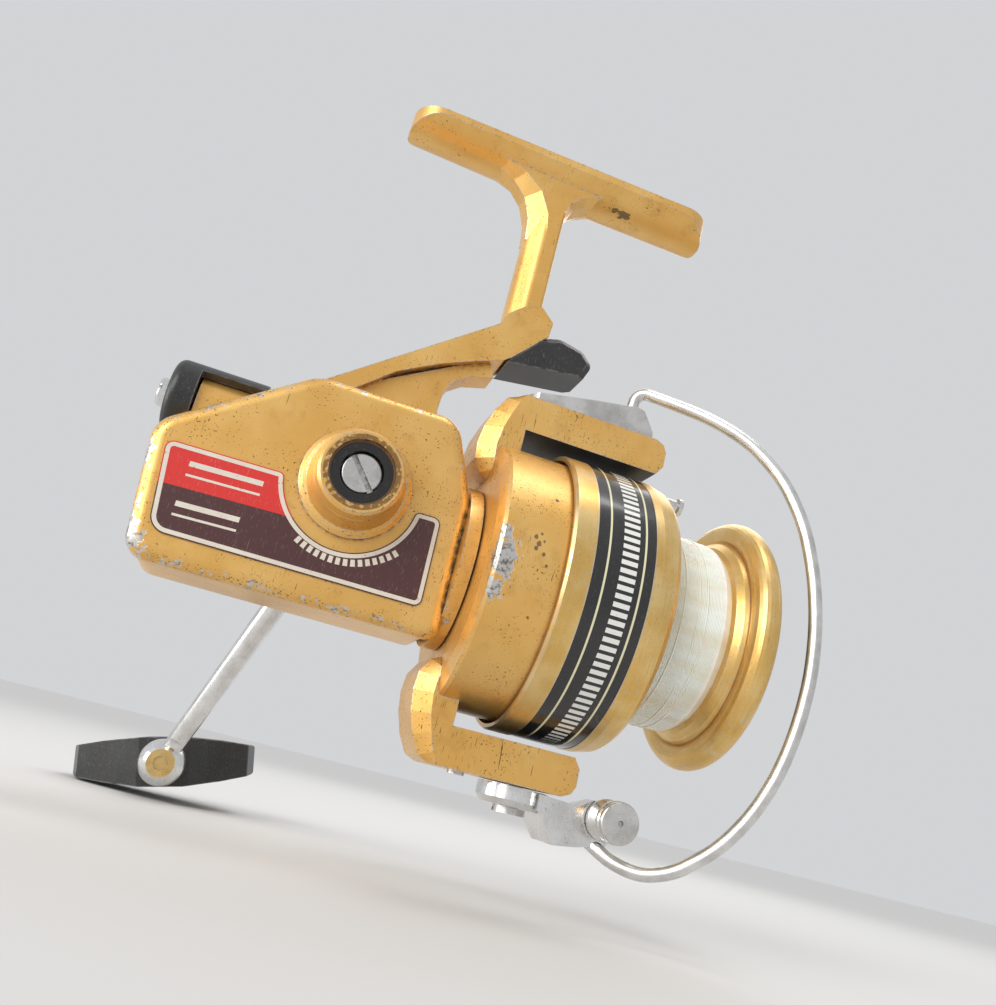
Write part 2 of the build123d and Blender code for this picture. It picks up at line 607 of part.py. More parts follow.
# ---------------------------------------------------------------- rotor
ROTOR_BACK_X = -0.8
with BuildPart() as rotor:
    # hub, back wall and drum
    spin_x((ROTOR_BACK_X, 0), (ROTOR_BACK_X, 17.0), (-0.6, 24.0), (-0.2, 26.4), (0.0, 27.3), (0.7, DRUM_R),
           (25.4, DRUM_R), (26.0, DRUM_R - 0.8), (26.0, 26.0), (4.0, 25.6), (2.4, 23.0), (2.4, 6.4),
           (5.0, 6.0), (5.0, 0))
    # the two bail arms: middle of the elbow, bevelled down to the flat sides
    for sign, arm_end in ((1, 35.8), (-1, 30.8)):
        core = [(arm_end, ARM_INNER_H + 2.0), (arm_end, 36.2), (arm_end - 0.8, 37.8),
                (arm_end - 2.6, ARM_OUTER_H),
                (1.6, ARM_OUTER_H), (-0.6, 37.6), (-2.6, 34.2), (-4.0, 30.0), (-4.6, 26.0), (-4.3, 22.4),
                (-2.6, 19.6), (0.0, 18.4), (4.2, 22.0), (4.2, ARM_INNER_H), (arm_end - 1.4, ARM_INNER_H)]
        side_face = core[:4] + [(2.8, ARM_OUTER_H), (1.6, 36.4), (0.4, 33.0), (-0.5, 29.8), (-1.0, 26.0),
                                (-0.8, 23.0), (0.2, 21.0), (1.6, 19.8)] + core[12:]
        with BuildSketch(side(ARM_HALF_WIDTH - ARM_BEVEL)):
            outline(*[(x, sign * h) for x, h in core])
        extrude(amount=2 * (ARM_HALF_WIDTH - ARM_BEVEL))
        for y in (-1, 1):
            with BuildSketch(side(y * (ARM_HALF_WIDTH - ARM_BEVEL))):
                outline(*[(x, sign * h) for x, h in core])
            with BuildSketch(side(y * ARM_HALF_WIDTH)):
                outline(*[(x, sign * h) for x, h in side_face])
            loft(ruled=True)
    tube_x(-3, 8, 3.0, mode=Mode.SUBTRACT)
    for sign in (1, -1):
        with BuildSketch(level(ARM_INNER_H * sign)):
            with Locations((PIVOT_X, 0)):
                Circle(1.6)
        extrude(amount=12 * sign, mode=Mode.SUBTRACT)
finish(rotor, "rotor")

with BuildPart() as rotor_washer:
    tube_x(5.0, 5.6, 5.6, 3.0)
finish(rotor_washer, "rotor_washer")

with BuildPart() as rotor_nut:
    with BuildSketch(across(5.6)):
        RegularPolygon(5.0, 6)
        Circle(3.0, mode=Mode.SUBTRACT)
    extrude(amount=2.4)
finish(rotor_nut, "rotor_nut")

# ---------------------------------------------------------------- main shaft and spool
with BuildPart() as main_shaft:
    tube_x(CROSS_X - 5.5, 64.0, SHAFT_R)
finish(main_shaft, "main_shaft")

SPOOL_BORE_R = SHAFT_R + RUN_GAP
with BuildPart() as spool:
    spin_x((SKIRT_REAR_X, 28.3), (SKIRT_REAR_X, 29.0), (SKIRT_REAR_X + 0.5, SKIRT_R), (BAND_X0, SKIRT_R),
           (BAND_X0, 28.9), (BAND_X1, 28.9), (BAND_X1, SKIRT_R), (31.6, SKIRT_R), (34.8, 28.7),
           (SKIRT_FRONT_X, 27.9),
           (37.0, 25.6), (37.4, 18.6), (51.4, 18.6), (52.2, 20.8), (53.4, 22.0), (54.2, 22.4),
           (LIP_X - 0.4, 22.6),
           (57.6, 21.2), (57.8, 19.0), (57.0, 17.4), (56.0, 12.4), (47.0, 12.2), (47.0, 0), (36.0, 0),
           (36.0, 4.6),
           (34.0, 5.0), (34.0, 26.0), (31.0, 28.2))
    spin_x(*[(LIP_X + LIP_TUBE_R * cos(radians(a)), LIP_R - LIP_TUBE_R + LIP_TUBE_R * sin(radians(a)))
             for a in range(0, 360, 15)])
    tube_x(30, 60, SPOOL_BORE_R, mode=Mode.SUBTRACT)
finish(spool, "spool")

with BuildPart() as spool_band:
    tube_x(BAND_X0, BAND_X1, SKIRT_R - 0.1, 28.9)
finish(spool_band, "spool_band")

with BuildPart() as line_winding:
    spin_x((37.4, 18.6), (37.6, LINE_R - 0.6), (38.4, LINE_R), (50.2, LINE_R), (51.0, LINE_R - 0.4),
           (51.8, 19.7), (51.4, 18.6))
finish(line_winding, "line_winding")

with BuildPart() as line_clip:
    with BuildSketch(across(35.4)):
        with Locations((-6.0, 26.2)):
            Circle(1.3)
    extrude(amount=6.4)
    with BuildSketch(across(41.8)):
        with Locations((-6.0, 26.2)):
            Circle(1.9)
    extrude(amount=0.9)
    add(spool.part, mode=Mode.SUBTRACT)
finish(line_clip, "line_clip")

# ---------------------------------------------------------------- front drag
WASHER_R = 11.6
DRAG_X = 47.0
FELT, PLATE = 0.9, 0.8

with BuildPart() as felt_washers:
    for x in (DRAG_X, DRAG_X + FELT + PLATE, DRAG_X + 2 * (FELT + PLATE)):
        tube_x(x, x + FELT, WASHER_R, SHAFT_R + 0.5)
finish(felt_washers, "felt_washers")

with BuildPart() as drag_plates:
    for x in (DRAG_X + FELT, DRAG_X + 2 * FELT + PLATE):
        tube_x(x, x + PLATE, WASHER_R - 0.2, SHAFT_R)
finish(drag_plates, "drag_plates")

with BuildPart() as retaining_ring:
    tube_x(DRAG_X + 4.6, DRAG_X + 5.4, 12.1, 10.4)
    with BuildSketch(across(DRAG_X + 4.6)):
        with Locations((0, -12)):
            Rectangle(4, 6)
    extrude(amount=1, mode=Mode.SUBTRACT)
finish(retaining_ring, "retaining_ring")

KNOB_X0 = 56.4
KNOB_X1 = 67.0
DRAG_KNOB_R = 11.0
with BuildPart() as drag_knob:
    spin_x((KNOB_X0, 0), (KNOB_X0, DRAG_KNOB_R), (KNOB_X1 - 2.4, DRAG_KNOB_R - 0.4),
           (KNOB_X1 - 0.6, DRAG_KNOB_R - 2.0),
           (KNOB_X1, DRAG_KNOB_R - 4.5), (KNOB_X1, 0))
    with BuildSketch(across(KNOB_X0)):
        with PolarLocations(DRAG_KNOB_R + 0.5, 14):
            Circle(1.0)
    extrude(amount=KNOB_X1 - KNOB_X0, mode=Mode.SUBTRACT)
    tube_x(KNOB_X0, KNOB_X0 + 6.0, 7.6, mode=Mode.SUBTRACT)
    tube_x(KNOB_X0, KNOB_X1 - 1.6, SHAFT_R + 0.6, mode=Mode.SUBTRACT)
finish(drag_knob, "drag_knob")

with BuildPart() as drag_nut:
    with BuildSketch(across(KNOB_X0 + 3.4)):
        RegularPolygon(7.4, 6)
        Circle(SHAFT_R + RUN_GAP, mode=Mode.SUBTRACT)
    extrude(amount=2.6)
finish(drag_nut, "drag_nut")

SPRING_X0 = DRAG_X + 3 * FELT + 2 * PLATE
with BuildPart() as drag_spring:
    coils = 3.5
    pitch = (KNOB_X0 + 3.4 - SPRING_X0 - 1.0) / coils
    with BuildLine():
        wire = Helix(pitch=pitch, height=pitch * coils, radius=4.4, center=(SPRING_X0 + 0.5, 0, -AXIS_DROP),
                     direction=(1, 0, 0))
    with BuildSketch(Plane(origin=wire @ 0, z_dir=wire % 0)):
        Circle(0.45)
    sweep(path=wire, is_frenet=True)
finish(drag_spring, "drag_spring")

# ---------------------------------------------------------------- bail
LEAN = radians(BAIL_LEAN)


def bail_point(reach, h):
    """Point in the bail's plane: distance from the pivot axis and height above the spool axis."""
    return (PIVOT_X + reach * cos(LEAN), reach * sin(LEAN), h - AXIS_DROP)


BAIL_PATH = [(7.6, 44.4), (8.2, 50.4), (14.1, 48.9), (24.6, 46.0), (34.5, 41.2), (42.5, 33.5), (47.8, 24.0),
             (50.8, 14.0), (52.4, 4.0), (52.7, -5.9), (51.7, -15.4), (49.6, -24.6), (46.0, -33.4),
             (40.6, -41.2), (33.4, -47.1), (27.4, -49.1), (21.6, -48.1)]
WIRE_END = (35.8, -6.4, -45.2 - AXIS_DROP)      # in the lug, behind the line roller
BAIL_POINTS = [bail_point(*p) for p in BAIL_PATH] + [WIRE_END]

with BuildPart() as bail_wire:
    with BuildLine() as wire_path:
        FilletPolyline(*BAIL_POINTS, radius=bend_radii(BAIL_POINTS))
    first = wire_path.line
    with BuildSketch(Plane(origin=first @ 0, z_dir=first % 0)):
        Circle(WIRE_R)
    sweep(path=first)
finish(bail_wire, "bail_wire")

HOLDER_BASE = ARM_OUTER_H + FREE_GAP
with BuildPart() as bail_holder:
    # wedge that rises from its tail to the wire's socket
    with BuildSketch(side(6.5)):
        outline((3.0, HOLDER_BASE), (3.0, 40.6), (26.4, 45.4), (28.6, 46.0), (30.4, 45.6), (33.4, 41.4),
                (33.4, HOLDER_BASE))
    extrude(amount=13.0)
    with BuildSketch(level(30)):
        with BuildLine():
            Polyline((33.4, 3.4), (33.4, -5.4))
            Line((33.4, -5.4), (19.0, -6.5))
            Line((19.0, -6.5), (6.0, -6.5))
            ThreePointArc((6.0, -6.5), (3.2, 0.0), (6.0, 6.5))
            Line((6.0, 6.5), (19.0, 6.5))
            Line((19.0, 6.5), (33.4, 3.4))
        make_face()
    extrude(amount=20, mode=Mode.INTERSECT)
    with BuildSketch(level(30)):
        with Locations((PIVOT_X, 0)):
            Circle(3.6)
    extrude(amount=20, mode=Mode.SUBTRACT)
    with BuildSketch(level(HOLDER_BASE)):
        with Locations((PIVOT_X, 0)):
            Circle(3.7)
            Circle(2.0 + RUN_GAP, mode=Mode.SUBTRACT)
    extrude(amount=1.8)
    add(bail_wire.part, mode=Mode.SUBTRACT)
finish(bail_holder, "bail_holder")

# chrome arm on the other side: pivot disc, forward bar and the lug that carries the roller
ROLLER_X, ROLLER_H = 37.9, -40.9
ROLLER_Y0, ROLLER_Y1 = -15.2, -9.0
ROLLER_R = 4.0
LUG_Y0, LUG_Y1 = -8.7, -4.2
with BuildPart() as bail_arm:
    base = -ARM_OUTER_H - FREE_GAP
    with BuildSketch(level(base)):
        with Locations((PIVOT_X, 0)):
            Circle(7.2)
    extrude(amount=-2.6)
    with BuildSketch(level(base - 2.6)):
        with Locations((PIVOT_X, 0)):
            Circle(7.2)
    extrude(amount=-1.2, taper=40)
    with BuildSketch(side(0)):
        outline((PIVOT_X + 3, base - 0.2), (32.4, base - 0.6), (35.0, -37.8), (40.4, -37.8), (41.6, -39.4),
                (41.6, -43.0), (39.0, -45.6), (33.0, -47.0), (28.6, -47.6), (25.6, base - 3.6),
                (PIVOT_X + 3, base - 3.2))
    extrude(amount=12, both=True)
    with BuildSketch(level(-60)):
        outline((PIVOT_X - 8, 8), (PIVOT_X - 8, -8), (PIVOT_X + 4, -8), (31.0, LUG_Y0), (43.0, LUG_Y0),
                (43.0, LUG_Y1),
                (34.4, LUG_Y1), (31.0, 1.6), (PIVOT_X + 5, 7.0))
    extrude(amount=30, mode=Mode.INTERSECT)
    with BuildSketch(level(-30)):
        with Locations((PIVOT_X, 0)):
            Circle(2.0 + RUN_GAP)
    extrude(amount=-20, mode=Mode.SUBTRACT)
    with BuildSketch(Plane(origin=(ROLLER_X, 0, ROLLER_H - AXIS_DROP), x_dir=(1, 0, 0), z_dir=(0, -1, 0))):
        Circle(1.4)
    extrude(amount=12, mode=Mode.SUBTRACT)
    add(bail_wire.part, mode=Mode.SUBTRACT)
finish(bail_arm, "bail_arm")


def roller_side(y=0.0):
    """Plane facing -Y, centred on the line roller's axis."""
    return Plane(origin=(ROLLER_X, y, ROLLER_H - AXIS_DROP), x_dir=(1, 0, 0), z_dir=(0, -1, 0))


with BuildPart() as roller_pin:
    with BuildSketch(roller_side(LUG_Y1)):
        Circle(1.4)
    extrude(amount=LUG_Y1 - ROLLER_Y0 + 0.2)
    with BuildSketch(roller_side(ROLLER_Y0 - FREE_GAP + 0.1)):
        Circle(3.9)
    extrude(amount=1.2)
    fillet(roller_pin.faces().sort_by(Axis.Y)[0].edges(), 0.4)
    with BuildSketch(roller_side(ROLLER_Y0 - 1.0)):
        Circle(0.6)
    extrude(amount=2, mode=Mode.SUBTRACT)
finish(roller_pin, "roller_pin")

with BuildPart() as line_roller:
    with BuildSketch(Plane(origin=(ROLLER_X, 0, ROLLER_H - AXIS_DROP), x_dir=(1, 0, 0), z_dir=(0, 0, 1))):
        outline((1.4 + RUN_GAP, ROLLER_Y0), (ROLLER_R - 0.3, ROLLER_Y0), (ROLLER_R, ROLLER_Y0 + 0.4),
                (ROLLER_R, ROLLER_Y0 + 1.2), (2.9, ROLLER_Y0 + 2.4), (2.9, ROLLER_Y1 - 2.2),
                (ROLLER_R, ROLLER_Y1 - 1.0),
                (ROLLER_R, ROLLER_Y1), (1.4 + RUN_GAP, ROLLER_Y1))
    revolve(axis=Axis((ROLLER_X, 0, ROLLER_H - AXIS_DROP), (0, 1, 0)))
finish(line_roller, "line_roller")


def upright_disc(x, y, h, radius, length):
    """Round boss standing on a level plane; a negative length goes down."""
    with BuildSketch(level(h)) as profile:
        with Locations((x, y)):
            Circle(radius)
    extrude(profile.sketch, amount=length)


def pivot_screw(sign, shoulder):
    """Shouldered screw through a bail pivot, into the end of its rotor arm."""
    upright_disc(PIVOT_X, 0, sign * (ARM_OUTER_H - 6.0), 1.6, sign * 6.0)
    upright_disc(PIVOT_X, 0, sign * ARM_OUTER_H, 2.0, sign * shoulder)
    upright_disc(PIVOT_X, 0, sign * (ARM_OUTER_H + shoulder), 3.3, sign * 1.3)
    with BuildSketch(level(sign * (ARM_OUTER_H + shoulder + 1.4))) as slot:
        with Locations((PIVOT_X, 0)):
            Rectangle(8, 0.9)
    extrude(slot.sketch, amount=-sign * 0.8, mode=Mode.SUBTRACT)


with BuildPart() as holder_pivot_screw:
    pivot_screw(1, 2.3)
finish(holder_pivot_screw, "holder_pivot_screw")

with BuildPart() as arm_pivot_screw:
    pivot_screw(-1, 4.2)
finish(arm_pivot_screw, "arm_pivot_screw")

with BuildPart() as arm_cover_screw:
    with BuildSketch(level(-ARM_OUTER_H)):
        with Locations((8.2, -3.0)):
            Circle(1.7)
    extrude(amount=-0.7)
finish(arm_cover_screw, "arm_cover_screw")

# ---------------------------------------------------------------- anti-reverse lever and pawl
LEVER_R = 7.6
LEVER_SPAN = radians(50)    # half angle of the shell over the block
LEVER_INNER_R = LEVER_BLOCK_R + 0.35
LEVER_TURN = 15.0
with BuildPart() as body_zone:
    with BuildSketch(side(14)):
        body_outline(-0.4)
    extrude(amount=28)

with BuildPart() as reverse_lever:
    with BuildSketch(across(-65.6)):
        with Locations((0, LEVER_H)):
            Circle(LEVER_R)
    extrude(amount=5.2)
    fillet(reverse_lever.faces().sort_by(Axis.X)[0].edges(), 1.8)
    edge_u, edge_v = sin(LEVER_SPAN), cos(LEVER_SPAN)
    with BuildSketch(across(-60.6)):
        with BuildLine():
            ThreePointArc((LEVER_R * edge_u, LEVER_H + LEVER_R * edge_v), (0, LEVER_H + LEVER_R),
                          (-LEVER_R * edge_u, LEVER_H + LEVER_R * edge_v))
            Line((-LEVER_R * edge_u, LEVER_H + LEVER_R * edge_v),
                 (-LEVER_INNER_R * edge_u, LEVER_H + LEVER_INNER_R * edge_v))
            ThreePointArc((-LEVER_INNER_R * edge_u, LEVER_H + LEVER_INNER_R * edge_v),
                          (0, LEVER_H + LEVER_INNER_R),
                          (LEVER_INNER_R * edge_u, LEVER_H + LEVER_INNER_R * edge_v))
            Line((LEVER_INNER_R * edge_u, LEVER_H + LEVER_INNER_R * edge_v),
                 (LEVER_R * edge_u, LEVER_H + LEVER_R * edge_v))
        make_face()
    extrude(amount=13.0)
    with BuildSketch(across(-66)):
        with Locations((0, LEVER_H)):
            Circle(LEVER_SCREW_R + RUN_GAP)
    extrude(amount=8, mode=Mode.SUBTRACT)
    # clear of the body at every position of the lever
    for turn in (0, -LEVER_TURN / 2, -LEVER_TURN):
        add(body_zone.part.rotate(Axis((0, 0, LEVER_H - AXIS_DROP), (1, 0, 0)), turn), mode=Mode.SUBTRACT)
finish(reverse_lever, "reverse_lever")

with BuildPart() as lever_screw:
    lever_axis = Plane(origin=(-65.9, 0, LEVER_H - AXIS_DROP), x_dir=(0, 1, 0), z_dir=(1, 0, 0))
    with BuildSketch(lever_axis):
        Circle(LEVER_SCREW_R)
    extrude(amount=12.9)
    with BuildSketch(lever_axis):
        Circle(2.9)
    extrude(amount=-1.8)
    fillet(lever_screw.faces().sort_by(Axis.X)[0].edges(), 0.6)
    with BuildSketch(lever_axis.offset(-1.9)):
        Rectangle(7, 0.8)
    extrude(amount=0.9, mode=Mode.SUBTRACT)
finish(lever_screw, "lever_screw")

with BuildPart() as pawl:
    with BuildSketch(across(-9.4)):
        outline((-1.7, PAWL_H - 1.0), (-2.2, 8.6), (-1.4, 7.6), (-0.6, 8.4), (1.7, PAWL_H - 0.6),
                (1.7, PAWL_H + 1.2),
                (-1.7, PAWL_H + 1.2))
        with Locations((0, PAWL_H)):
            Circle(2.0)
            Circle(PAWL_PIN_R + RUN_GAP, mode=Mode.SUBTRACT)
    extrude(amount=1.1)
finish(pawl, "pawl")

with BuildPart() as pawl_pin:
    with BuildSketch(across(-9.9)):
        with Locations((0, PAWL_H)):
            Circle(PAWL_PIN_R)
    extrude(amount=6.0)
finish(pawl_pin, "pawl_pin")
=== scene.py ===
"""Looks of a front-drag spinning reel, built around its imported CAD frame."""
import bpy
import json
from math import cos, pi, radians, sin
from mathutils import Matrix, Vector


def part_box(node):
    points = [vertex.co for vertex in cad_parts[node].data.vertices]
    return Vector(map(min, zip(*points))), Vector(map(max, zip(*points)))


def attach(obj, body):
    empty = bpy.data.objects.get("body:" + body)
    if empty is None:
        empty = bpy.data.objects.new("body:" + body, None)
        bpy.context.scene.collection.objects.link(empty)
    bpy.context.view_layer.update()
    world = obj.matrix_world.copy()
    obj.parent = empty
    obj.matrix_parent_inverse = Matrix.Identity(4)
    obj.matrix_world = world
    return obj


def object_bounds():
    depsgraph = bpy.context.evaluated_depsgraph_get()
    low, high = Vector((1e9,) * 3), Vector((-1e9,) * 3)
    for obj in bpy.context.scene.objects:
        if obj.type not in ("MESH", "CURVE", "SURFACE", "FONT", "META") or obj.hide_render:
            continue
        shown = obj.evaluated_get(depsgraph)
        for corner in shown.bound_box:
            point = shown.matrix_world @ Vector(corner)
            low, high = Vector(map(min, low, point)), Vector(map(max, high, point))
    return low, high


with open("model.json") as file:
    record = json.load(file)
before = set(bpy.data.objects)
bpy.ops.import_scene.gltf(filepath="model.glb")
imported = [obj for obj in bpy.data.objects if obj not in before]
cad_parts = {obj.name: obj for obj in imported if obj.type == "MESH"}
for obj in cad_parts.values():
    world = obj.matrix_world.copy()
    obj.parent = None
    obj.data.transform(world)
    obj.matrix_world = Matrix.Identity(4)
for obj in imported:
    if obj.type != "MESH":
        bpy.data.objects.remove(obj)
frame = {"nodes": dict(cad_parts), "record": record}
cad_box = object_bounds()
nodes = frame["nodes"]
record = frame["record"]

MM = 0.001

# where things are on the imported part
JOINTS = {
    joint["name"]: Vector(joint["pos_m"])
    for joint in record["behaviour"]["joints"] if joint.get("pos_m")
}
AXIS_Z = JOINTS["rotor_spin"].z
CRANK = JOINTS["crank_turn"]
SIDE_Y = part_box("label_plate")[1].y
FOOT_FACE = -6.4 * MM           # underside of the foot
DRUM_RADIUS = 27.6 * MM         # outside of the rotor's drum
RED_FLOOR = AXIS_Z - 3.1 * MM   # the red panel's lower edge at the label's rear end
LABEL_LEAN = 0.027              # rise of that edge and of the bars, per unit of length

# rings of wear about the crank's axis, as inner and outer radius
STAINED_RING_MM = (5.0, 7.3)
OILY_RING_MM = (5.9, 7.4)


# ---------------------------------------------------------------- camera, floor and light
CAMERA_PLACE = (-0.03716, -0.18535, -0.14064)
CAMERA_FORWARD = (0.2081, 0.9326, 0.2947)
CAMERA_RIGHT = (0.9317, -0.2808, 0.2305)
LENS_MM = 33.73
SENSOR_MM = 36.0
FLOOR_HALF = 6.0
FLOOR_GAP = 0.4 * MM
FLOOR_TONE = (0.66, 0.655, 0.645, 1)
LIGHT_TONE = (1.0, 0.985, 0.96)
WORLD_TONE = (0.83, 0.84, 0.86, 1)
WORLD_STRENGTH = 0.78


def make_camera():
    """A 34 mm lens close to the side away from the crank, 42 mm below the spool's axis and looking up."""
    data = bpy.data.cameras.new("camera")
    data.sensor_fit = "HORIZONTAL"
    data.sensor_width = SENSOR_MM
    data.lens = LENS_MM
    data.clip_start = 0.005
    data.clip_end = 20.0
    camera = bpy.data.objects.new("camera", data)
    bpy.context.scene.collection.objects.link(camera)
    forward = Vector(CAMERA_FORWARD).normalized()
    right = Vector(CAMERA_RIGHT)
    right = (right - right.dot(forward) * forward).normalized()
    up = right.cross(forward)
    turn = Matrix((right, up, -forward)).transposed()
    camera.matrix_world = Matrix.Translation(CAMERA_PLACE) @ turn.to_4x4()
    bpy.context.scene.camera = camera
    return right, up, forward


def make_floor():
    """Pale floor just under the lowest point of the object."""
    material, _, shader = new_material("floor_pale")
    shader.inputs["Base Color"].default_value = FLOOR_TONE
    shader.inputs["Roughness"].default_value = 0.85
    half = FLOOR_HALF
    low = cad_box[0].z - FLOOR_GAP
    corners = [(-half, -half, low), (half, -half, low), (half, half, low), (-half, half, low)]
    mesh = bpy.data.meshes.new("floor")
    mesh.from_pydata(corners, [], [(0, 1, 2, 3)])
    mesh.materials.append(material)
    floor = bpy.data.objects.new("floor", mesh)
    bpy.context.scene.collection.objects.link(floor)


def make_lights(right, up, forward):
    """A wide soft key that lights the floor evenly, soft boxes for highlights, and a pale world."""
    centre = (cad_box[0] + cad_box[1]) / 2
    # size is an angle for the sun and metres for the others
    for name, kind, way, distance, size, strength in (
            ("key", "SUN", -0.55 * right + 0.85 * up - 0.75 * forward, 0.55, radians(40), 2.0),
            ("left_fill", "AREA", -1.0 * right + 0.32 * up - 0.35 * forward, 0.42, 0.20, 0.7),
            ("top_strip", "AREA", 0.45 * right + 1.0 * up + 0.15 * forward, 0.50, 0.20, 0.6),
            ("far_side", "AREA", 0.35 * right + 0.45 * up + 1.0 * forward, 0.60, 0.40, 0.9)):
        data = bpy.data.lights.new(name, kind)
        if kind == "SUN":
            data.angle = size
        else:
            data.size = size
        data.energy = strength
        data.color = LIGHT_TONE
        light = bpy.data.objects.new(name, data)
        light.visible_camera = False
        bpy.context.scene.collection.objects.link(light)
        way = way.normalized()
        light.location = centre + way * distance
        light.rotation_mode = "QUATERNION"
        light.rotation_quaternion = way.to_track_quat("Z", "Y")
    world = bpy.data.worlds.new("studio")
    world.use_nodes = True
    background = world.node_tree.nodes["Background"]
    background.inputs["Color"].default_value = WORLD_TONE
    background.inputs["Strength"].default_value = WORLD_STRENGTH
    bpy.context.scene.world = world
    bpy.context.scene.view_settings.view_transform = "Standard"


# ---------------------------------------------------------------- node helpers
def new_material(name):
    """A material with one Principled shader; returns it with its node tree and the shader."""
    material = bpy.data.materials.new(name)
    material.use_nodes = True
    return material, material.node_tree, material.node_tree.nodes["Principled BSDF"]


def put(nt, socket, value):
    """Links a socket to a socket, or sets a number or a colour on it."""
    if isinstance(value, bpy.types.NodeSocket):
        nt.links.new(value, socket)
    elif isinstance(value, (tuple, list)) and len(value) == 3 and socket.type == "RGBA":
        socket.default_value = (*value, 1)
    else:
        socket.default_value = value


def calc(nt, operation, a, b=0.0, c=0.0):
    """One math node; each operand is a number or a socket."""
    node = nt.nodes.new("ShaderNodeMath")
    node.operation = operation
    for socket, value in zip(node.inputs, (a, b, c)):
        put(nt, socket, value)
    return node.outputs[0]


def step(nt, value, low, high):
    """0 below low, 1 above high, smooth between; high may be under low."""
    node = nt.nodes.new("ShaderNodeMapRange")
    node.interpolation_type = "SMOOTHSTEP"
    flip = high < low
    put(nt, node.inputs["Value"], value)
    node.inputs["From Min"].default_value = min(low, high)
    node.inputs["From Max"].default_value = max(low, high)
    node.inputs["To Min"].default_value = 1.0 if flip else 0.0
    node.inputs["To Max"].default_value = 0.0 if flip else 1.0
    return node.outputs["Result"]


def mix(nt, share, a, b):
    """Colour a where share is 0, colour b where it is 1."""
    node = nt.nodes.new("ShaderNodeMix")
    node.data_type = "RGBA"
    put(nt, node.inputs["Factor"], share)
    put(nt, node.inputs[6], a)
    put(nt, node.inputs[7], b)
    return node.outputs[2]


def blend_number(nt, share, a, b):
    """Number a where share is 0, number b where it is 1."""
    node = nt.nodes.new("ShaderNodeMix")
    node.data_type = "FLOAT"
    put(nt, node.inputs["Factor"], share)
    put(nt, node.inputs[2], a)
    put(nt, node.inputs[3], b)
    return node.outputs[0]


def place(nt):
    """The object's own coordinates, in metres."""
    return nt.nodes.new("ShaderNodeTexCoord").outputs["Object"]


def axes(nt):
    """The x, y and z of the object's own coordinates, in metres."""
    split = nt.nodes.new("ShaderNodeSeparateXYZ")
    nt.links.new(place(nt), split.inputs[0])
    return split.outputs


def noise(nt, grain_mm, detail=3.0, roughness=0.55, stretch=(1, 1, 1), turn=(0, 0, 0), distortion=0.0):
    """Noise whose blobs are about grain_mm across; stretch makes them longer along an axis."""
    mapping = nt.nodes.new("ShaderNodeMapping")
    mapping.inputs["Rotation"].default_value = [radians(a) for a in turn]
    mapping.inputs["Scale"].default_value = [1 / s for s in stretch]
    nt.links.new(place(nt), mapping.inputs[0])
    node = nt.nodes.new("ShaderNodeTexNoise")
    nt.links.new(mapping.outputs[0], node.inputs["Vector"])
    node.inputs["Scale"].default_value = 1 / (grain_mm * MM)
    node.inputs["Detail"].default_value = detail
    node.inputs["Roughness"].default_value = roughness
    node.inputs["Distortion"].default_value = distortion
    return node.outputs["Fac"]


def edges(nt, radius_mm):
    """Near 1 on sharp outer or inner edges, 0 on faces."""
    bevel = nt.nodes.new("ShaderNodeBevel")
    bevel.samples = 4
    bevel.inputs["Radius"].default_value = radius_mm * MM
    geometry = nt.nodes.new("ShaderNodeNewGeometry")
    dot = nt.nodes.new("ShaderNodeVectorMath")
    dot.operation = "DOT_PRODUCT"
    nt.links.new(bevel.outputs[0], dot.inputs[0])
    nt.links.new(geometry.outputs["Normal"], dot.inputs[1])
    return step(nt, dot.outputs["Value"], 0.992, 0.90)


def crevices(nt, reach_mm):
    """Near 1 deep in a piece's own corners, 0 in the open; the mask of the painted shade in corners."""
    node = nt.nodes.new("ShaderNodeAmbientOcclusion")
    node.samples = 4
    node.only_local = True
    node.inputs["Distance"].default_value = reach_mm * MM
    return step(nt, node.outputs["AO"], 0.85, 0.35)


def relief(nt, shader, *layers):
    """Chains bump layers of (height, strength, depth in mm) into the shader's normal."""
    normal = None
    for height, strength, depth_mm in layers:
        bump = nt.nodes.new("ShaderNodeBump")
        bump.inputs["Strength"].default_value = strength
        bump.inputs["Distance"].default_value = depth_mm * MM
        put(nt, bump.inputs["Height"], height)
        if normal:
            nt.links.new(normal, bump.inputs["Normal"])
        normal = bump.outputs[0]
    nt.links.new(normal, shader.inputs["Normal"])


def scratches(nt, width_mm, length, threshold, turns=((0, 0, 35), (0, 50, -20))):
    """Thin short marks in a few directions."""
    total = 0.0
    for turn in turns:
        lines = noise(nt, width_mm, 1.0, 0.4, (1, 1, length), turn)
        total = calc(nt, "MAXIMUM", total, step(nt, lines, threshold, threshold + 0.025))
    return total


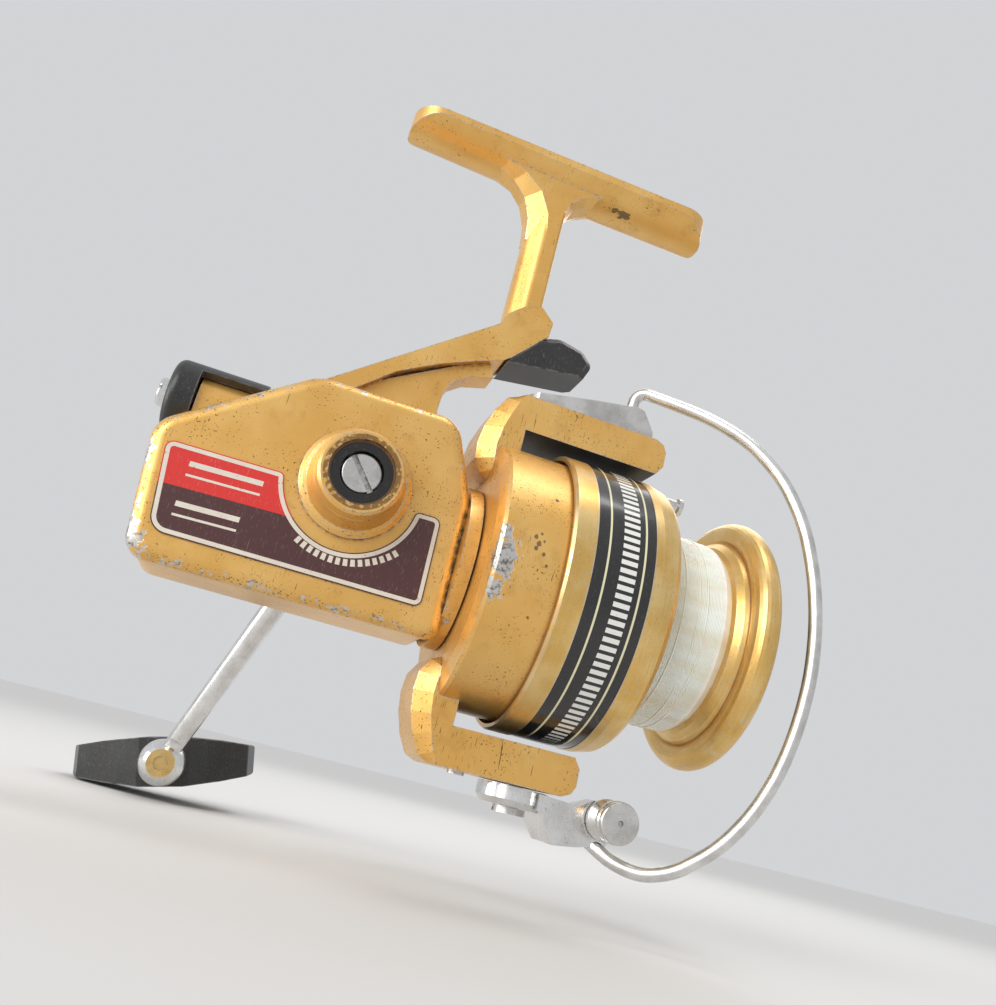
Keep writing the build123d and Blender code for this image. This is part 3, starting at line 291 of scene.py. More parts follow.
def spots(nt, marks):
    """1 inside ragged patches; marks are (centre, radius in mm, long axis direction, elongation)."""
    ragged = calc(nt, "MULTIPLY", calc(nt, "SUBTRACT", noise(nt, 1.4, 4.0, 0.65), 0.5), 3.2)
    total = 0.0
    for centre, radius_mm, along, longer in marks:
        offset = nt.nodes.new("ShaderNodeVectorMath")
        offset.operation = "SUBTRACT"
        nt.links.new(place(nt), offset.inputs[0])
        offset.inputs[1].default_value = centre
        mapping = nt.nodes.new("ShaderNodeMapping")
        mapping.vector_type = "TEXTURE"
        mapping.inputs["Rotation"].default_value = Vector(along).to_track_quat("X", "Z").to_euler()
        mapping.inputs["Scale"].default_value = (longer, 1, 1)
        nt.links.new(offset.outputs[0], mapping.inputs[0])
        far = nt.nodes.new("ShaderNodeVectorMath")
        far.operation = "LENGTH"
        nt.links.new(mapping.outputs[0], far.inputs[0])
        reach = calc(nt, "DIVIDE", far.outputs["Value"], radius_mm * MM)
        total = calc(nt, "MAXIMUM", total, step(nt, calc(nt, "ADD", reach, ragged), 1.05, 0.9))
    return total


# ---------------------------------------------------------------- materials
GOLD = (0.74, 0.42, 0.105)
GOLD_PALE = (0.80, 0.50, 0.16)
GOLD_DEEP = (0.46, 0.22, 0.04)
BARE_METAL = (0.62, 0.60, 0.57)
# dark tone of real specks, scratches and chips, and of the painted shade in corners
GRIME_AND_SHADE = (0.035, 0.022, 0.012)


def object_normal(nt):
    """The surface normal's x, y and z in the object's own frame."""
    split = nt.nodes.new("ShaderNodeSeparateXYZ")
    nt.links.new(nt.nodes.new("ShaderNodeTexCoord").outputs["Normal"], split.inputs[0])
    return split.outputs


ROLL_START, ROLL_FULL = 9.9 * MM, 10.5 * MM
BODY_FRONT, BODY_FRONT_FULL = -1.5 * MM, -2.5 * MM
NECK_LEVEL, NECK_LEVEL_FULL = -60 * MM, -64 * MM
BOSS_FACE, BOSS_FACE_FULL = 13.6 * MM, 13.2 * MM


def rolled_edges(nt):
    """1 on the body's rounded borders, where hands and tables rub."""
    x, y, z = axes(nt)
    slant = calc(nt, "ABSOLUTE", object_normal(nt)[1])
    rolled = calc(nt, "MULTIPLY", step(nt, slant, 0.97, 0.86), step(nt, slant, 0.10, 0.28))
    outer = step(nt, calc(nt, "ABSOLUTE", y), ROLL_START, ROLL_FULL)
    body = calc(nt, "MULTIPLY", step(nt, x, BODY_FRONT, BODY_FRONT_FULL),
                step(nt, z, NECK_LEVEL, NECK_LEVEL_FULL))
    behind_boss = step(nt, calc(nt, "ABSOLUTE", y), BOSS_FACE, BOSS_FACE_FULL)
    rounded = calc(nt, "MULTIPLY", rolled, outer)
    return calc(nt, "MULTIPLY", rounded, calc(nt, "MULTIPLY", body, behind_boss))


def boss_ring(nt, inner_mm, outer_mm):
    """1 between two radii about the crank's axis."""
    x, _, z = axes(nt)
    dx = calc(nt, "SUBTRACT", x, CRANK.x)
    dz = calc(nt, "SUBTRACT", z, CRANK.z)
    far = calc(nt, "SQRT", calc(nt, "ADD", calc(nt, "MULTIPLY", dx, dx), calc(nt, "MULTIPLY", dz, dz)))
    inside = step(nt, far, outer_mm * MM, (outer_mm - 0.25) * MM)
    return calc(nt, "MULTIPLY", inside, step(nt, far, (inner_mm - 0.2) * MM, inner_mm * MM))


def arm_inner_painted_shade(nt):
    """1 on the rotor arms' faces towards the spool; the rotor paints them near black as painted shade."""
    x, _, z = axes(nt)
    height = calc(nt, "ABSOLUTE", calc(nt, "SUBTRACT", z, AXIS_Z))
    level = step(nt, calc(nt, "ABSOLUTE", object_normal(nt)[2]), 0.75, 0.9)
    inside = calc(nt, "MULTIPLY", step(nt, height, 30.0 * MM, 30.4 * MM),
                  step(nt, height, 31.9 * MM, 31.5 * MM))
    return calc(nt, "MULTIPLY", calc(nt, "MULTIPLY", inside, level), step(nt, x, 3.5 * MM, 4.5 * MM))


def gold_paint(name, bare, dark, body=False, rotor=False):
    """Sprayed gold lacquer: fine flake, pin specks, hair scratches, worn edges, and painted shade with patchy
    soiling in corners; on the rotor, painted shade on the arms' inner faces.
    """
    edge_mm, spot_share = 0.55, 0.67
    material, nt, shader = new_material(name)
    cloud = noise(nt, 14, 3.0)
    colour = mix(nt, step(nt, cloud, 0.35, 0.7), GOLD, GOLD_PALE)
    flake = noise(nt, 0.16, 2.0, 0.7)
    colour = mix(nt, calc(nt, "MULTIPLY", step(nt, flake, 0.45, 0.25), 0.30), colour, GOLD_DEEP)
    dull = step(nt, noise(nt, 5, 5.0, 0.6), 0.52, 0.72)
    colour = mix(nt, calc(nt, "MULTIPLY", dull, 0.28), colour, GOLD_DEEP)

    speck_zone = step(nt, noise(nt, 9, 2.0), 0.42, 0.62)
    specks = step(nt, noise(nt, 0.42, 1.0), spot_share, spot_share + 0.03)
    specks = calc(nt, "MULTIPLY", specks, speck_zone)
    hair_share, gouge_share = (0.745, 0.785) if body else (0.715, 0.755)
    hairs = scratches(nt, 0.16, 14, hair_share, ((0, 0, 35), (0, 50, -20), (25, 75, 0)))
    hairs = calc(nt, "MULTIPLY", hairs, step(nt, noise(nt, 12, 2.0), 0.38, 0.58))
    gouges = scratches(nt, 0.34, 18, gouge_share, ((0, 0, 62), (0, 55, 8)))
    marks = calc(nt, "MAXIMUM", specks, calc(nt, "MAXIMUM", calc(nt, "MULTIPLY", hairs, 0.85), gouges))
    colour = mix(nt, calc(nt, "MULTIPLY", marks, 0.85), colour, GRIME_AND_SHADE)

    rub = edges(nt, edge_mm)
    rub = calc(nt, "MULTIPLY", rub, step(nt, noise(nt, 2.6, 4.0, 0.65), 0.40, 0.56))
    if body:
        rolled = rolled_edges(nt)
        worn_roll = calc(nt, "MULTIPLY", rolled, step(nt, noise(nt, 2.2, 5.0, 0.7), 0.53, 0.60))
        rub = calc(nt, "MAXIMUM", rub, worn_roll)
        chips = calc(nt, "MULTIPLY", rolled, step(nt, noise(nt, 0.55, 3.0), 0.60, 0.66))
        marks = calc(nt, "MAXIMUM", marks, chips)
        colour = mix(nt, calc(nt, "MULTIPLY", chips, 0.85), colour, GRIME_AND_SHADE)
    rub = calc(nt, "MAXIMUM", rub, spots(nt, bare))
    tarnish = mix(nt, step(nt, noise(nt, 0.7, 3.0), 0.45, 0.66), BARE_METAL, (0.20, 0.17, 0.14))
    colour = mix(nt, rub, colour, tarnish)
    # painted shade with patchy soiling in the piece's own corners, and the listed dark spots
    stain_and_shade = calc(nt, "MULTIPLY", crevices(nt, 1.6), step(nt, noise(nt, 1.2, 4.0), 0.36, 0.6))
    stain_and_shade = calc(nt, "MAXIMUM", stain_and_shade, spots(nt, dark))
    colour = mix(nt, calc(nt, "MULTIPLY", stain_and_shade, 0.8), colour, GRIME_AND_SHADE)

    if body:
        rim = calc(nt, "MULTIPLY", boss_ring(nt, *STAINED_RING_MM), step(nt, noise(nt, 1.0, 4.0), 0.34, 0.50))
        colour = mix(nt, calc(nt, "MULTIPLY", rim, 0.80), colour, (0.16, 0.07, 0.02))
    # painted shade: the rotor arms' inner faces are made near black, less metallic and rougher
    if rotor:
        inner = arm_inner_painted_shade(nt)
        colour = mix(nt, inner, colour, (0.012, 0.011, 0.010))
        stain_and_shade = calc(nt, "MAXIMUM", stain_and_shade, inner)
    put(nt, shader.inputs["Base Color"], colour)
    shown_metal = blend_number(nt, stain_and_shade, blend_number(nt, rub, 0.72, 0.95), 0.2)
    put(nt, shader.inputs["Metallic"], shown_metal)
    rough = blend_number(nt, rub, blend_number(nt, cloud, 0.34, 0.46), 0.33)
    put(nt, shader.inputs["Roughness"], blend_number(nt, calc(nt, "MAXIMUM", stain_and_shade, marks), rough, 0.62))
    shader.inputs["Coat Weight"].default_value = 0.30
    shader.inputs["Coat Roughness"].default_value = 0.25
    chipped = calc(nt, "SUBTRACT", 1.0, calc(nt, "MAXIMUM", rub, marks))
    relief(nt, shader, (chipped, 0.5, 0.05), (flake, 0.16, 0.05), (noise(nt, 2.4, 2.0), 0.10, 0.25))
    return material


def spool_gold():
    """Anodised gold turned on a lathe: rings round the axis, rubbed pale on the rims."""
    material, nt, shader = new_material("spool_gold")
    turned = noise(nt, 0.16, 2.0, 0.6, (1, 60, 60))
    cloud = noise(nt, 8, 3.0, 0.55)
    colour = mix(nt, step(nt, cloud, 0.35, 0.68), (0.70, 0.44, 0.13), (0.78, 0.56, 0.24))
    colour = mix(nt, calc(nt, "MULTIPLY", step(nt, turned, 0.5, 0.7), 0.18), colour, (0.36, 0.22, 0.07))
    hairs = scratches(nt, 0.10, 14, 0.72, ((20, 0, 80), (0, 80, 10), (50, 20, 0)))
    rub = calc(nt, "MULTIPLY", edges(nt, 0.6), step(nt, noise(nt, 3.0, 4.0), 0.34, 0.55))
    worn = step(nt, noise(nt, 1.6, 5.0, 0.62), 0.60, 0.68)
    colour = mix(nt, calc(nt, "MULTIPLY", worn, 0.55), colour, (0.56, 0.52, 0.44))
    colour = mix(nt, rub, colour, BARE_METAL)
    colour = mix(nt, calc(nt, "MULTIPLY", hairs, 0.6), colour, GRIME_AND_SHADE)
    put(nt, shader.inputs["Base Color"], colour)
    put(nt, shader.inputs["Metallic"], blend_number(nt, hairs, 0.88, 0.4))
    put(nt, shader.inputs["Roughness"], blend_number(nt, cloud, 0.26, 0.42))
    relief(nt, shader, (turned, 0.14, 0.05), (calc(nt, "SUBTRACT", 1.0, hairs), 0.4, 0.03))
    return material


def label_print():
    """Printed foil: red panel at the top left, dark brown elsewhere, fine rubbing."""
    material, nt, shader = new_material("label_print")
    x, _, z = axes(nt)
    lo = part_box("label_plate")[0]
    slope = calc(nt, "MULTIPLY_ADD", calc(nt, "SUBTRACT", x, lo.x), LABEL_LEAN, RED_FLOOR)
    red = calc(nt, "MULTIPLY", step(nt, calc(nt, "SUBTRACT", z, slope), 0.0, 0.05 * MM),
               step(nt, x, CRANK.x - 6 * MM, CRANK.x - 6.1 * MM))
    colour = mix(nt, red, (0.070, 0.020, 0.020), (0.64, 0.026, 0.020))
    rubbed = step(nt, noise(nt, 0.5, 4.0, 0.7), 0.66, 0.74)
    colour = mix(nt, calc(nt, "MULTIPLY", rubbed, 0.35), colour, (0.45, 0.36, 0.30))
    hairs = scratches(nt, 0.08, 20, 0.73)
    colour = mix(nt, calc(nt, "MULTIPLY", hairs, 0.3), colour, (0.6, 0.5, 0.42))
    put(nt, shader.inputs["Base Color"], colour)
    shader.inputs["Metallic"].default_value = 0.1
    put(nt, shader.inputs["Roughness"], blend_number(nt, noise(nt, 6, 3.0), 0.30, 0.44))
    shader.inputs["Coat Weight"].default_value = 0.35
    shader.inputs["Coat Roughness"].default_value = 0.18
    relief(nt, shader, (calc(nt, "SUBTRACT", 1.0, hairs), 0.3, 0.02), (noise(nt, 0.3, 2.0), 0.05, 0.03))
    return material


def label_ink(name):
    """Off-white ink of the label's border and bars, a little chipped."""
    material, nt, shader = new_material(name)
    chip = step(nt, noise(nt, 0.55, 4.0, 0.7), 0.64, 0.70)
    colour = mix(nt, noise(nt, 3, 3.0), (0.60, 0.54, 0.46), (0.74, 0.69, 0.60))
    colour = mix(nt, chip, colour, (0.22, 0.12, 0.07))
    put(nt, shader.inputs["Base Color"], colour)
    put(nt, shader.inputs["Roughness"], blend_number(nt, chip, 0.38, 0.6))
    relief(nt, shader, (calc(nt, "SUBTRACT", 1.0, chip), 0.4, 0.03))
    return material


def band_print():
    """Gloss black band with two cream lines round it and a ring of white dashes between them."""
    material, nt, shader = new_material("band_print")
    x, y, z = axes(nt)
    lo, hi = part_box("spool_band")
    along = calc(nt, "DIVIDE", calc(nt, "SUBTRACT", x, lo.x), hi.x - lo.x)
    angle = calc(nt, "ARCTAN2", y, calc(nt, "SUBTRACT", z, AXIS_Z))
    dash_count = 112
    turn = calc(nt, "FRACT", calc(nt, "MULTIPLY_ADD", angle, dash_count / (2 * pi), 0.5 * dash_count))
    dash = calc(nt, "MULTIPLY", step(nt, turn, 0.20, 0.23), step(nt, turn, 0.80, 0.77))
    middle_strip = calc(nt, "MULTIPLY", step(nt, along, 0.435, 0.44), step(nt, along, 0.715, 0.71))
    dash = calc(nt, "MULTIPLY", dash, middle_strip)
    rings = 0.0
    for middle in (0.215, 0.825):
        away = calc(nt, "ABSOLUTE", calc(nt, "SUBTRACT", along, middle))
        rings = calc(nt, "MAXIMUM", rings, step(nt, away, 0.020, 0.014))
    chip = step(nt, noise(nt, 0.5, 4.0, 0.7), 0.66, 0.72)
    keep = calc(nt, "SUBTRACT", 1.0, chip)
    colour = mix(nt, noise(nt, 6, 3.0), (0.006, 0.006, 0.007), (0.016, 0.015, 0.016))
    colour = mix(nt, calc(nt, "MULTIPLY", dash, keep), colour, (0.72, 0.72, 0.68))
    colour = mix(nt, calc(nt, "MULTIPLY", rings, keep), colour, (0.70, 0.66, 0.42))
    hairs = scratches(nt, 0.09, 18, 0.73, ((10, 0, 70), (60, 10, 10)))
    colour = mix(nt, calc(nt, "MULTIPLY", hairs, 0.25), colour, (0.4, 0.4, 0.38))
    put(nt, shader.inputs["Base Color"], colour)
    put(nt, shader.inputs["Roughness"], blend_number(nt, noise(nt, 5, 3.0), 0.16, 0.30))
    shader.inputs["Coat Weight"].default_value = 0.4
    shader.inputs["Coat Roughness"].default_value = 0.1
    relief(nt, shader, (calc(nt, "SUBTRACT", 1.0, hairs), 0.3, 0.02))
    return material


def black_plastic(name, tone=0.018, grey_edge=0.55):
    """Satin black moulding with a fine grain, greyed on its edges partly by scuffing and partly as a painted
    highlight, lightly scuffed.
    """
    material, nt, shader = new_material(name)
    cloud = noise(nt, 7, 4.0)
    colour = mix(nt, cloud, (tone * 0.6,) * 3, (tone * 1.5, tone * 1.5, tone * 1.55))
    # grey edges: partly scuffing, partly a painted highlight
    rub = calc(nt, "MULTIPLY", edges(nt, 0.5), step(nt, noise(nt, 1.8, 4.0), 0.35, 0.6))
    colour = mix(nt, calc(nt, "MULTIPLY", rub, grey_edge), colour, (0.30, 0.30, 0.30))
    hairs = scratches(nt, 0.10, 16, 0.715, ((0, 0, 20), (30, 60, 0), (0, 20, 70)))
    colour = mix(nt, calc(nt, "MULTIPLY", hairs, 0.30), colour, (0.34, 0.34, 0.35))
    dust = step(nt, noise(nt, 0.30, 2.0), 0.72, 0.76)
    colour = mix(nt, calc(nt, "MULTIPLY", dust, 0.4), colour, (0.40, 0.39, 0.37))
    put(nt, shader.inputs["Base Color"], colour)
    put(nt, shader.inputs["Roughness"], blend_number(nt, cloud, 0.30, 0.46))
    grain = noise(nt, 0.22, 3.0)
    relief(nt, shader, (grain, 0.10, 0.05), (calc(nt, "SUBTRACT", 1.0, hairs), 0.25, 0.03))
    return material


def bush():
    """Black bush whose rim is oily brown."""
    material, nt, shader = new_material("bush_ring")
    rim = boss_ring(nt, *OILY_RING_MM)
    outer = calc(nt, "MULTIPLY", rim, step(nt, noise(nt, 0.8, 4.0), 0.30, 0.45))
    grit = step(nt, noise(nt, 0.35, 3.0), 0.60, 0.68)
    colour = mix(nt, outer, (0.010, 0.010, 0.010), (0.20, 0.10, 0.035))
    colour = mix(nt, calc(nt, "MULTIPLY", grit, 0.5), colour, (0.10, 0.07, 0.04))
    put(nt, shader.inputs["Base Color"], colour)
    put(nt, shader.inputs["Metallic"], calc(nt, "MULTIPLY", outer, 0.6))
    put(nt, shader.inputs["Roughness"], blend_number(nt, outer, 0.32, 0.42))
    relief(nt, shader, (grit, 0.3, 0.04))
    return material


def metal(name, base, deep, rough, stretch=(1, 1, 1), grain_mm=0.14, pits=0.68, grime_and_shade=0.7,
          edge=0.5, tool_relief=0.12):
    """Bare or plated metal: tool marks, scratches, small pits, painted shade with patchy soiling in corners,
    bright edges.
    """
    material, nt, shader = new_material(name)
    cloud = noise(nt, 5, 4.0, 0.6)
    tool = noise(nt, grain_mm, 2.0, 0.6, stretch)
    colour = mix(nt, step(nt, cloud, 0.3, 0.75), base, deep)
    colour = mix(nt, calc(nt, "MULTIPLY", step(nt, tool, 0.5, 0.75), 0.25), colour, deep)
    pit = step(nt, noise(nt, 0.34, 2.0), pits, pits + 0.03)
    hairs = scratches(nt, 0.07, 22, 0.70, ((0, 0, 30), (40, 0, 80), (70, 30, 0)))
    # painted shade with patchy soiling in the piece's own corners
    stain_and_shade = calc(nt, "MULTIPLY", crevices(nt, 1.0), step(nt, noise(nt, 0.9, 4.0), 0.3, 0.6))
    if edge:
        rub = calc(nt, "MULTIPLY", edges(nt, 0.35), edge)
        colour = mix(nt, rub, colour, tuple(min(1.0, c * 1.18) for c in base))
    pits_and_shade = calc(nt, "MAXIMUM", pit, stain_and_shade)
    colour = mix(nt, calc(nt, "MULTIPLY", pits_and_shade, grime_and_shade), colour, (0.05, 0.04, 0.03))
    put(nt, shader.inputs["Base Color"], colour)
    put(nt, shader.inputs["Metallic"], blend_number(nt, pits_and_shade, 0.97, 0.35))
    worn = blend_number(nt, cloud, rough[0], rough[1])
    put(nt, shader.inputs["Roughness"], blend_number(nt, calc(nt, "MULTIPLY", hairs, 0.7), worn, 0.55))
    marks = calc(nt, "SUBTRACT", 1.0, calc(nt, "MAXIMUM", hairs, pit))
    relief(nt, shader, (tool, tool_relief, 0.04), (marks, 2.0 * tool_relief, 0.02))
    return material


def nylon_gear():
    """Off-white moulded nylon, slightly translucent, with old grease."""
    material, nt, shader = new_material("nylon_gear")
    cloud = noise(nt, 3, 4.0)
    colour = mix(nt, cloud, (0.74, 0.70, 0.60), (0.82, 0.80, 0.74))
    grease = step(nt, noise(nt, 1.6, 4.0), 0.52, 0.66)
    colour = mix(nt, calc(nt, "MULTIPLY", grease, 0.6), colour, (0.28, 0.20, 0.10))
    put(nt, shader.inputs["Base Color"], colour)
    put(nt, shader.inputs["Roughness"], blend_number(nt, grease, 0.5, 0.2))
    shader.inputs["Subsurface Weight"].default_value = 0.1
    shader.inputs["Subsurface Scale"].default_value = 0.001
    relief(nt, shader, (noise(nt, 0.4, 3.0), 0.1, 0.06))
    return material


def felt():
    """Pressed wool soaked in oil."""
    material, nt, shader = new_material("felt")
    fibre = noise(nt, 0.18, 5.0, 0.7, (1, 4, 4))
    colour = mix(nt, fibre, (0.20, 0.17, 0.12), (0.50, 0.45, 0.36))
    put(nt, shader.inputs["Base Color"], colour)
    put(nt, shader.inputs["Roughness"], blend_number(nt, fibre, 0.95, 0.75))
    shader.inputs["Sheen Weight"].default_value = 0.3
    relief(nt, shader, (fibre, 0.6, 0.15))
    return material


def fishing_line(name="fishing_line"):
    """Clear cream monofilament, wound close: soft shine, and a warm brown painted shade where the turns are
    deep.
    """
    material, nt, shader = new_material(name)
    cloud = noise(nt, 4, 4.0, 0.6, (3, 1, 1))
    colour = mix(nt, step(nt, cloud, 0.3, 0.7), (0.84, 0.77, 0.63), (0.93, 0.92, 0.88))
    # painted shade: warm brown in the deep gaps between the turns
    colour = mix(nt, calc(nt, "MULTIPLY", crevices(nt, 0.25), 0.45), colour, (0.46, 0.36, 0.20))
    put(nt, shader.inputs["Base Color"], colour)
    put(nt, shader.inputs["Roughness"], blend_number(nt, cloud, 0.22, 0.38))
    shader.inputs["Subsurface Weight"].default_value = 0.25
    shader.inputs["Subsurface Scale"].default_value = 0.0008
    shader.inputs["Coat Weight"].default_value = 0.3
    shader.inputs["Coat Roughness"].default_value = 0.2
    relief(nt, shader, (noise(nt, 0.3, 2.0, 0.5, (1, 10, 10)), 0.15, 0.05))
    return material


# ---------------------------------------------------------------- worn places, in metres about the foot's top
def on_drum(degrees_up, along_mm):
    """Point on the rotor drum, by degrees above the side facing -Y and millimetres ahead of its rear."""
    a = radians(degrees_up)
    return (along_mm * MM, -DRUM_RADIUS * cos(a), AXIS_Z + DRUM_RADIUS * sin(a))


rotor_bare = [
    (on_drum(7, 1.0), 1.5, (0, 0, 1), 1.3),
    (on_drum(-3, 1.3), 2.4, (0, 0.1, 1), 1.6),
    (on_drum(-15, 1.2), 1.5, (0, 0.3, 1), 1.8)]
# degrees up, millimetres ahead of the drum's rear, radius in mm
PIN_CHIPS = (
    (8.5, 6.6, 0.42), (6.5, 7.4, 0.50), (7.5, 8.3, 0.36), (4.0, 7.0, 0.34), (10.5, 7.6, 0.30),
    (2.5, 8.6, 0.32), (-1.5, 9.6, 0.25), (28.0, 9.8, 0.30), (-22, 9.0, 0.28))
rotor_dark = [(on_drum(degrees, along), size, (0, 0, 1), 1.2) for degrees, along, size in PIN_CHIPS]
housing_bare = [
    ((-0.0622, SIDE_Y + 1.0 * MM, AXIS_Z - 13.5 * MM), 2.6, (0.5, 0, -1), 1.5),
    ((-0.0638, SIDE_Y + 1.2 * MM, AXIS_Z + 2 * MM), 1.2, (0, 0, 1), 2.0),
    ((-0.015, -5 * MM, FOOT_FACE), 1.3, (1, 0, 0), 2.2),
    ((-0.026, -5 * MM, FOOT_FACE), 1.0, (1, 0, 0), 2.0)]
housing_dark = [
    ((0.0158, -3.6 * MM, FOOT_FACE), 1.2, (1, 0, 0), 2.6),
    ((-0.0154, -4.4 * MM, FOOT_FACE), 0.9, (1, 0, 0), 1.8),
    ((0.0240, -4.8 * MM, FOOT_FACE), 0.9, (1, 0, 0), 2.2),
    ((-0.0247, -5.0 * MM, FOOT_FACE), 0.8, (1, 0, 0), 1.6)]


# ---------------------------------------------------------------- CAD nodes get their materials
def paint_nodes():
    """Every CAD node takes the material of its slot in the record; a few have their own."""
    steel, steel_deep = (0.70, 0.69, 0.67), (0.46, 0.45, 0.43)
    slots = {
        "gold_paint": gold_paint("gold_paint", housing_bare, housing_dark, body=True),
        "spool_gold": spool_gold(),
        "label_print": label_print(),
        "band_print": band_print(),
        "black_plastic": black_plastic("black_plastic"),
        "black_bush": black_plastic("black_bush", 0.008, 0.2),
        "chrome_plate": metal("chrome_plate", (0.80, 0.80, 0.80), (0.60, 0.59, 0.57), (0.12, 0.26),
                              tool_relief=0.03, edge=0),
        "wire_steel": metal("wire_steel", (0.74, 0.735, 0.72), (0.50, 0.495, 0.48), (0.26, 0.40),
                            pits=0.76, tool_relief=0.003, edge=0),
        # screws: pits and the painted shade in their slots are darker
        "screw_steel": metal("screw_steel", steel, steel_deep, (0.24, 0.40), grain_mm=0.10, grime_and_shade=0.92),
        "holder_alloy": metal("holder_alloy", (0.72, 0.71, 0.69), (0.48, 0.47, 0.45), (0.26, 0.42)),
        "gear_alloy": metal("gear_alloy", (0.50, 0.50, 0.49), (0.34, 0.34, 0.33), (0.40, 0.55)),
        "brass_part": metal("brass_part", (0.70, 0.50, 0.21), (0.46, 0.29, 0.10), (0.24, 0.42)),
        "nylon_gear": nylon_gear(),
        "shaft_steel": metal("shaft_steel", (0.64, 0.64, 0.64), (0.44, 0.44, 0.44), (0.20, 0.34),
                             (1, 30, 30)),
        "hard_steel": metal("hard_steel", (0.52, 0.52, 0.53), (0.34, 0.34, 0.35), (0.24, 0.40)),
        "felt": felt(),
        "line": fishing_line(),
    }
    own = {
        "rotor": gold_paint("gold_rotor", rotor_bare, rotor_dark, rotor=True),
        "reverse_lever": black_plastic("black_lever", 0.015, 0.4),
        "knob": black_plastic("black_knob", 0.020, 0.7),
        "gear_bushing_right": bush(),
    }
    for subpart in record["subparts"]:
        name = subpart["node"]
        data = nodes[name].data
        data.materials.clear()
        data.materials.append(own.get(name) or slots[subpart["material_slot"]])


# ---------------------------------------------------------------- pieces made here
def add_piece(name, points, faces, material, body, smooth=False):
    """A mesh piece in the row frame that rides on a body."""
    mesh = bpy.data.meshes.new(name)
    mesh.from_pydata(points, [], faces)
    mesh.validate()
    mesh.update()
    mesh.materials.append(material)
    for polygon in mesh.polygons:
        polygon.use_smooth = smooth
    piece = bpy.data.objects.new(name, mesh)
    bpy.context.scene.collection.objects.link(piece)
    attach(piece, body)
    return piece


def face_loop(node, y):
    """The outline, as (x, z) points in order, of a node's flat face at that y."""
    mesh = nodes[node].data
    uses = {}
    for polygon in mesh.polygons:
        corners = [mesh.vertices[i].co for i in polygon.vertices]
        if all(abs(c.y - y) < 1e-5 for c in corners):
            keys = [(round(c.x, 6), round(c.z, 6)) for c in corners]
            for a, b in zip(keys, keys[1:] + keys[:1]):
                uses[(a, b)] = uses.get((a, b), 0) + 1
    after = {a: b for a, b in uses if (b, a) not in uses}
    loop = [next(iter(after))]
    while after[loop[-1]] != loop[0]:
        loop.append(after[loop[-1]])
    return [Vector(p) for p in loop]


def inset(loop, distance):
    """The outline moved inwards by a distance; its corners stay sharp or round as they were."""
    area = sum(a.x * b.y - b.x * a.y for a, b in zip(loop, loop[1:] + loop[:1]))
    side = 1 if area > 0 else -1
    moved = []
    for before, here, after in zip(loop[-1:] + loop[:-1], loop, loop[1:] + loop[:1]):
        into, out = (here - before).normalized(), (after - here).normalized()
        normal = Vector((-(into + out).y, (into + out).x)).normalized() * side
        first = Vector((-into.y, into.x)) * side
        moved.append(here + normal * distance / max(0.5, normal.dot(first)))
    return moved


def raised_ring(outer, inner, y, thick):
    """Points and faces of a thin ribbon between two outlines, standing thick proud of y towards -Y."""
    count = len(outer)
    points = [(p.x, y, p.y) for p in outer] + [(p.x, y - thick, p.y) for p in outer]
    points += [(p.x, y - thick, p.y) for p in inner] + [(p.x, y, p.y) for p in inner]
    faces = []
    for i in range(count):
        j = (i + 1) % count
        for row in range(4):
            a, b = row * count, (row + 1) % 4 * count
            faces.append((a + i, a + j, b + j, b + i))
    return points, faces


def label_border():
    """Off-white line round the label with a thin dark edge either side."""
    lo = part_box("label_plate")[0]
    loop = face_loop("label_plate", lo.y)
    points, faces = raised_ring(inset(loop, 0.22 * MM), inset(loop, 1.0 * MM), lo.y, 0.03 * MM)
    add_piece("label_border", points, faces, label_ink("label_border"), "frame")


# left end, right end, height over the red panel's edge, thickness
BARS_MM = (
    (5.0, 18.5, 4.3, 1.0), (5.0, 18.5, 2.4, 0.45),
    (5.0, 16.5, -3.4, 1.0), (5.0, 16.5, -5.2, 0.45))
TICK_COUNT = 15
# degrees about the crank's axis
TICK_FIRST, TICK_PITCH, TICK_HALF = -118, 5.2, 1.6


def label_bars():
    """Printed bars in place of lettering: a pair in each panel, and ticks along the boss's curve."""
    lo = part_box("label_plate")[0]
    material = label_ink("label_bars")
    points, faces = [], []

    def bar(corners):
        """A thin slab with these (x, z) corners."""
        count = len(corners)
        back = len(points)
        front = back + count
        points.extend((x, lo.y, z) for x, z in corners)
        points.extend((x, lo.y - 0.02 * MM, z) for x, z in corners)
        faces.append([front + i for i in range(count)])
        faces.append([back + i for i in reversed(range(count))])
        faces.extend([back + i, back + (i + 1) % count, front + (i + 1) % count, front + i]
                     for i in range(count))

    for left, right, height, thick in BARS_MM:
        x0, x1 = lo.x + left * MM, lo.x + right * MM
        z0 = RED_FLOOR + height * MM
        z1 = z0 + LABEL_LEAN * (x1 - x0)
        bar([(x0, z0), (x1, z1), (x1, z1 + thick * MM), (x0, z0 + thick * MM)])
    inner, outer = 14.7 * MM, 16.0 * MM
    tick = radians(TICK_HALF)
    for i in range(TICK_COUNT):
        a = radians(TICK_FIRST + TICK_PITCH * i)
        bar([(CRANK.x + r * cos(b), CRANK.z + r * sin(b))
             for r, b in ((inner, a - tick), (outer, a - tick), (outer, a + tick), (inner, a + tick))])
    add_piece("label_bars", points, faces, material, "frame")


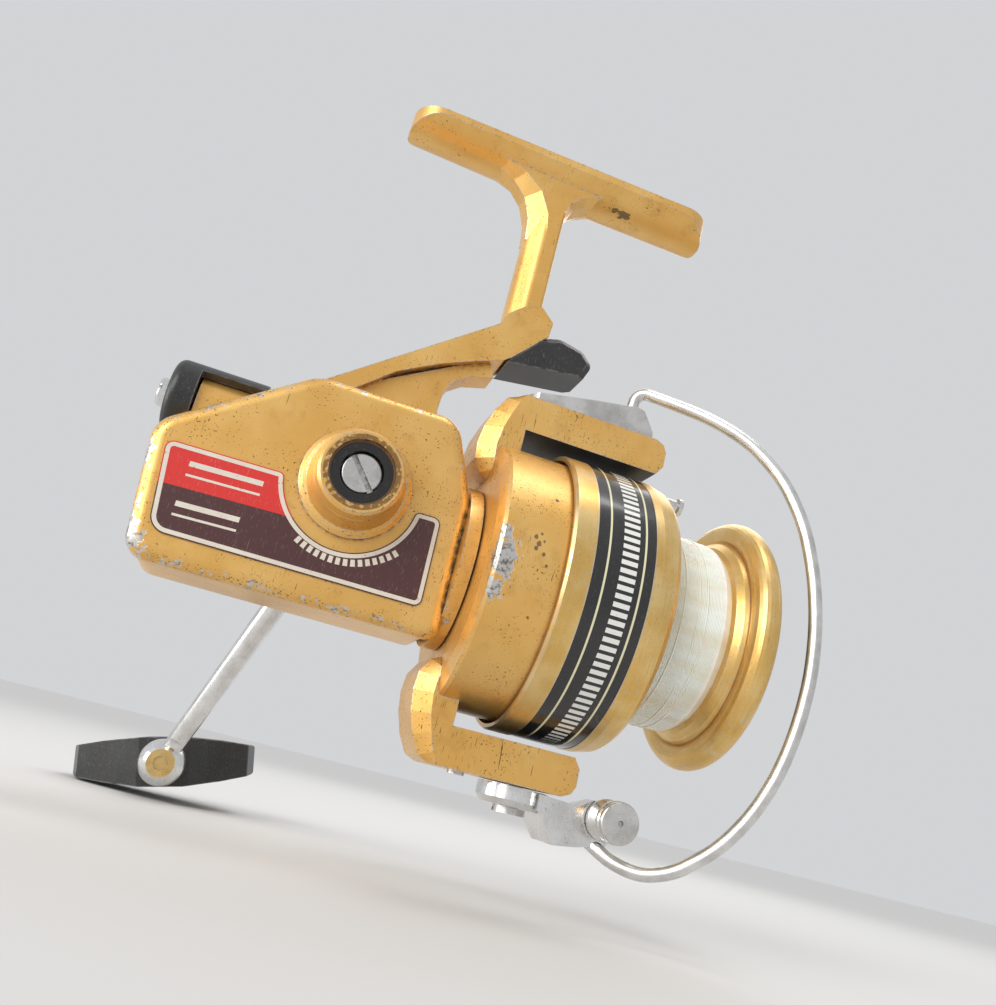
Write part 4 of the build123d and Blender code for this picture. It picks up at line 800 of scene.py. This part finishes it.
def tube(path, radius, sides):
    """Points and faces of a round tube along a path, with its ends capped."""
    count = len(path)
    points, faces = [], []
    for i, here in enumerate(path):
        ahead = (path[min(i + 1, count - 1)] - path[max(i - 1, 0)]).normalized()
        first = ahead.cross(Vector((1, 0, 0)))
        first = first.normalized() if first.length > 0.2 else ahead.cross(Vector((0, 1, 0))).normalized()
        second = ahead.cross(first)
        turns = [2 * pi * k / sides for k in range(sides)]
        points += [tuple(here + radius * (cos(a) * first + sin(a) * second)) for a in turns]
    for i in range(count - 1):
        for k in range(sides):
            m = (k + 1) % sides
            faces.append((i * sides + k, i * sides + m, (i + 1) * sides + m, (i + 1) * sides + k))
    faces.append(tuple(reversed(range(sides))))
    faces.append(tuple((count - 1) * sides + k for k in range(sides)))
    return points, faces


LINE_RADIUS = 0.16 * MM
LINE_PITCH = 0.315 * MM
LINE_SIDES = 6
STEPS_A_TURN = 72
# start and rise as shares of the winding's length, number of turns, first angle
CROSSING_TURNS = ((0.10, 0.22, 1.3, 0.4), (0.70, -0.24, 1.6, 2.1))


def wound_line():
    """The winding's top layer: one close helix of line, with a few turns that cross it."""
    material = fishing_line("wound_line")
    lo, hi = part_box("line_winding")
    full = (hi.z - lo.z) / 2
    radius = LINE_RADIUS
    pitch = LINE_PITCH
    steps = STEPS_A_TURN
    x0, x1 = lo.x + 0.9 * MM, hi.x - 1.5 * MM

    def surface(x):
        """The winding droops a little at both ends."""
        end = min(x - x0, x1 - x) / (1.2 * MM)
        return full - 0.05 * MM - 0.30 * MM * max(0.0, 1 - end) ** 2

    count = int((x1 - x0) / pitch * steps)
    path = []
    for i in range(count + 1):
        x = x0 + (x1 - x0) * i / count
        a = 2 * pi * i / steps
        r = surface(x)
        path.append(Vector((x, r * sin(a), AXIS_Z + r * cos(a))))
    points, faces = tube(path, radius, LINE_SIDES)
    add_piece("wound_line", points, faces, material, "spool", smooth=True)

    for number, (start, rise, turns, phase) in enumerate(CROSSING_TURNS):
        path = []
        count = int(turns * steps)
        for i in range(count + 1):
            t = i / count
            x = x0 + (x1 - x0) * (start + rise * t)
            a = phase + 2 * pi * turns * t
            r = surface(x) + 0.20 * MM * min(1.0, 12 * t, 12 * (1 - t))
            path.append(Vector((x, r * sin(a), AXIS_Z + r * cos(a))))
        points, faces = tube(path, radius, LINE_SIDES)
        add_piece(f"crossing_line_{number}", points, faces, material, "spool", smooth=True)


def smooth_wire():
    """Evens the wire's shading with modifiers; its own points stay as they are."""
    wire = nodes["bail_wire"]
    joined = wire.modifiers.new("joined", "WELD")
    joined.merge_threshold = 0.005 * MM
    even = wire.modifiers.new("even", "WEIGHTED_NORMAL")
    even.keep_sharp = False


right, up, forward = make_camera()
make_floor()
make_lights(right, up, forward)
paint_nodes()
smooth_wire()
label_border()
label_bars()
wound_line()
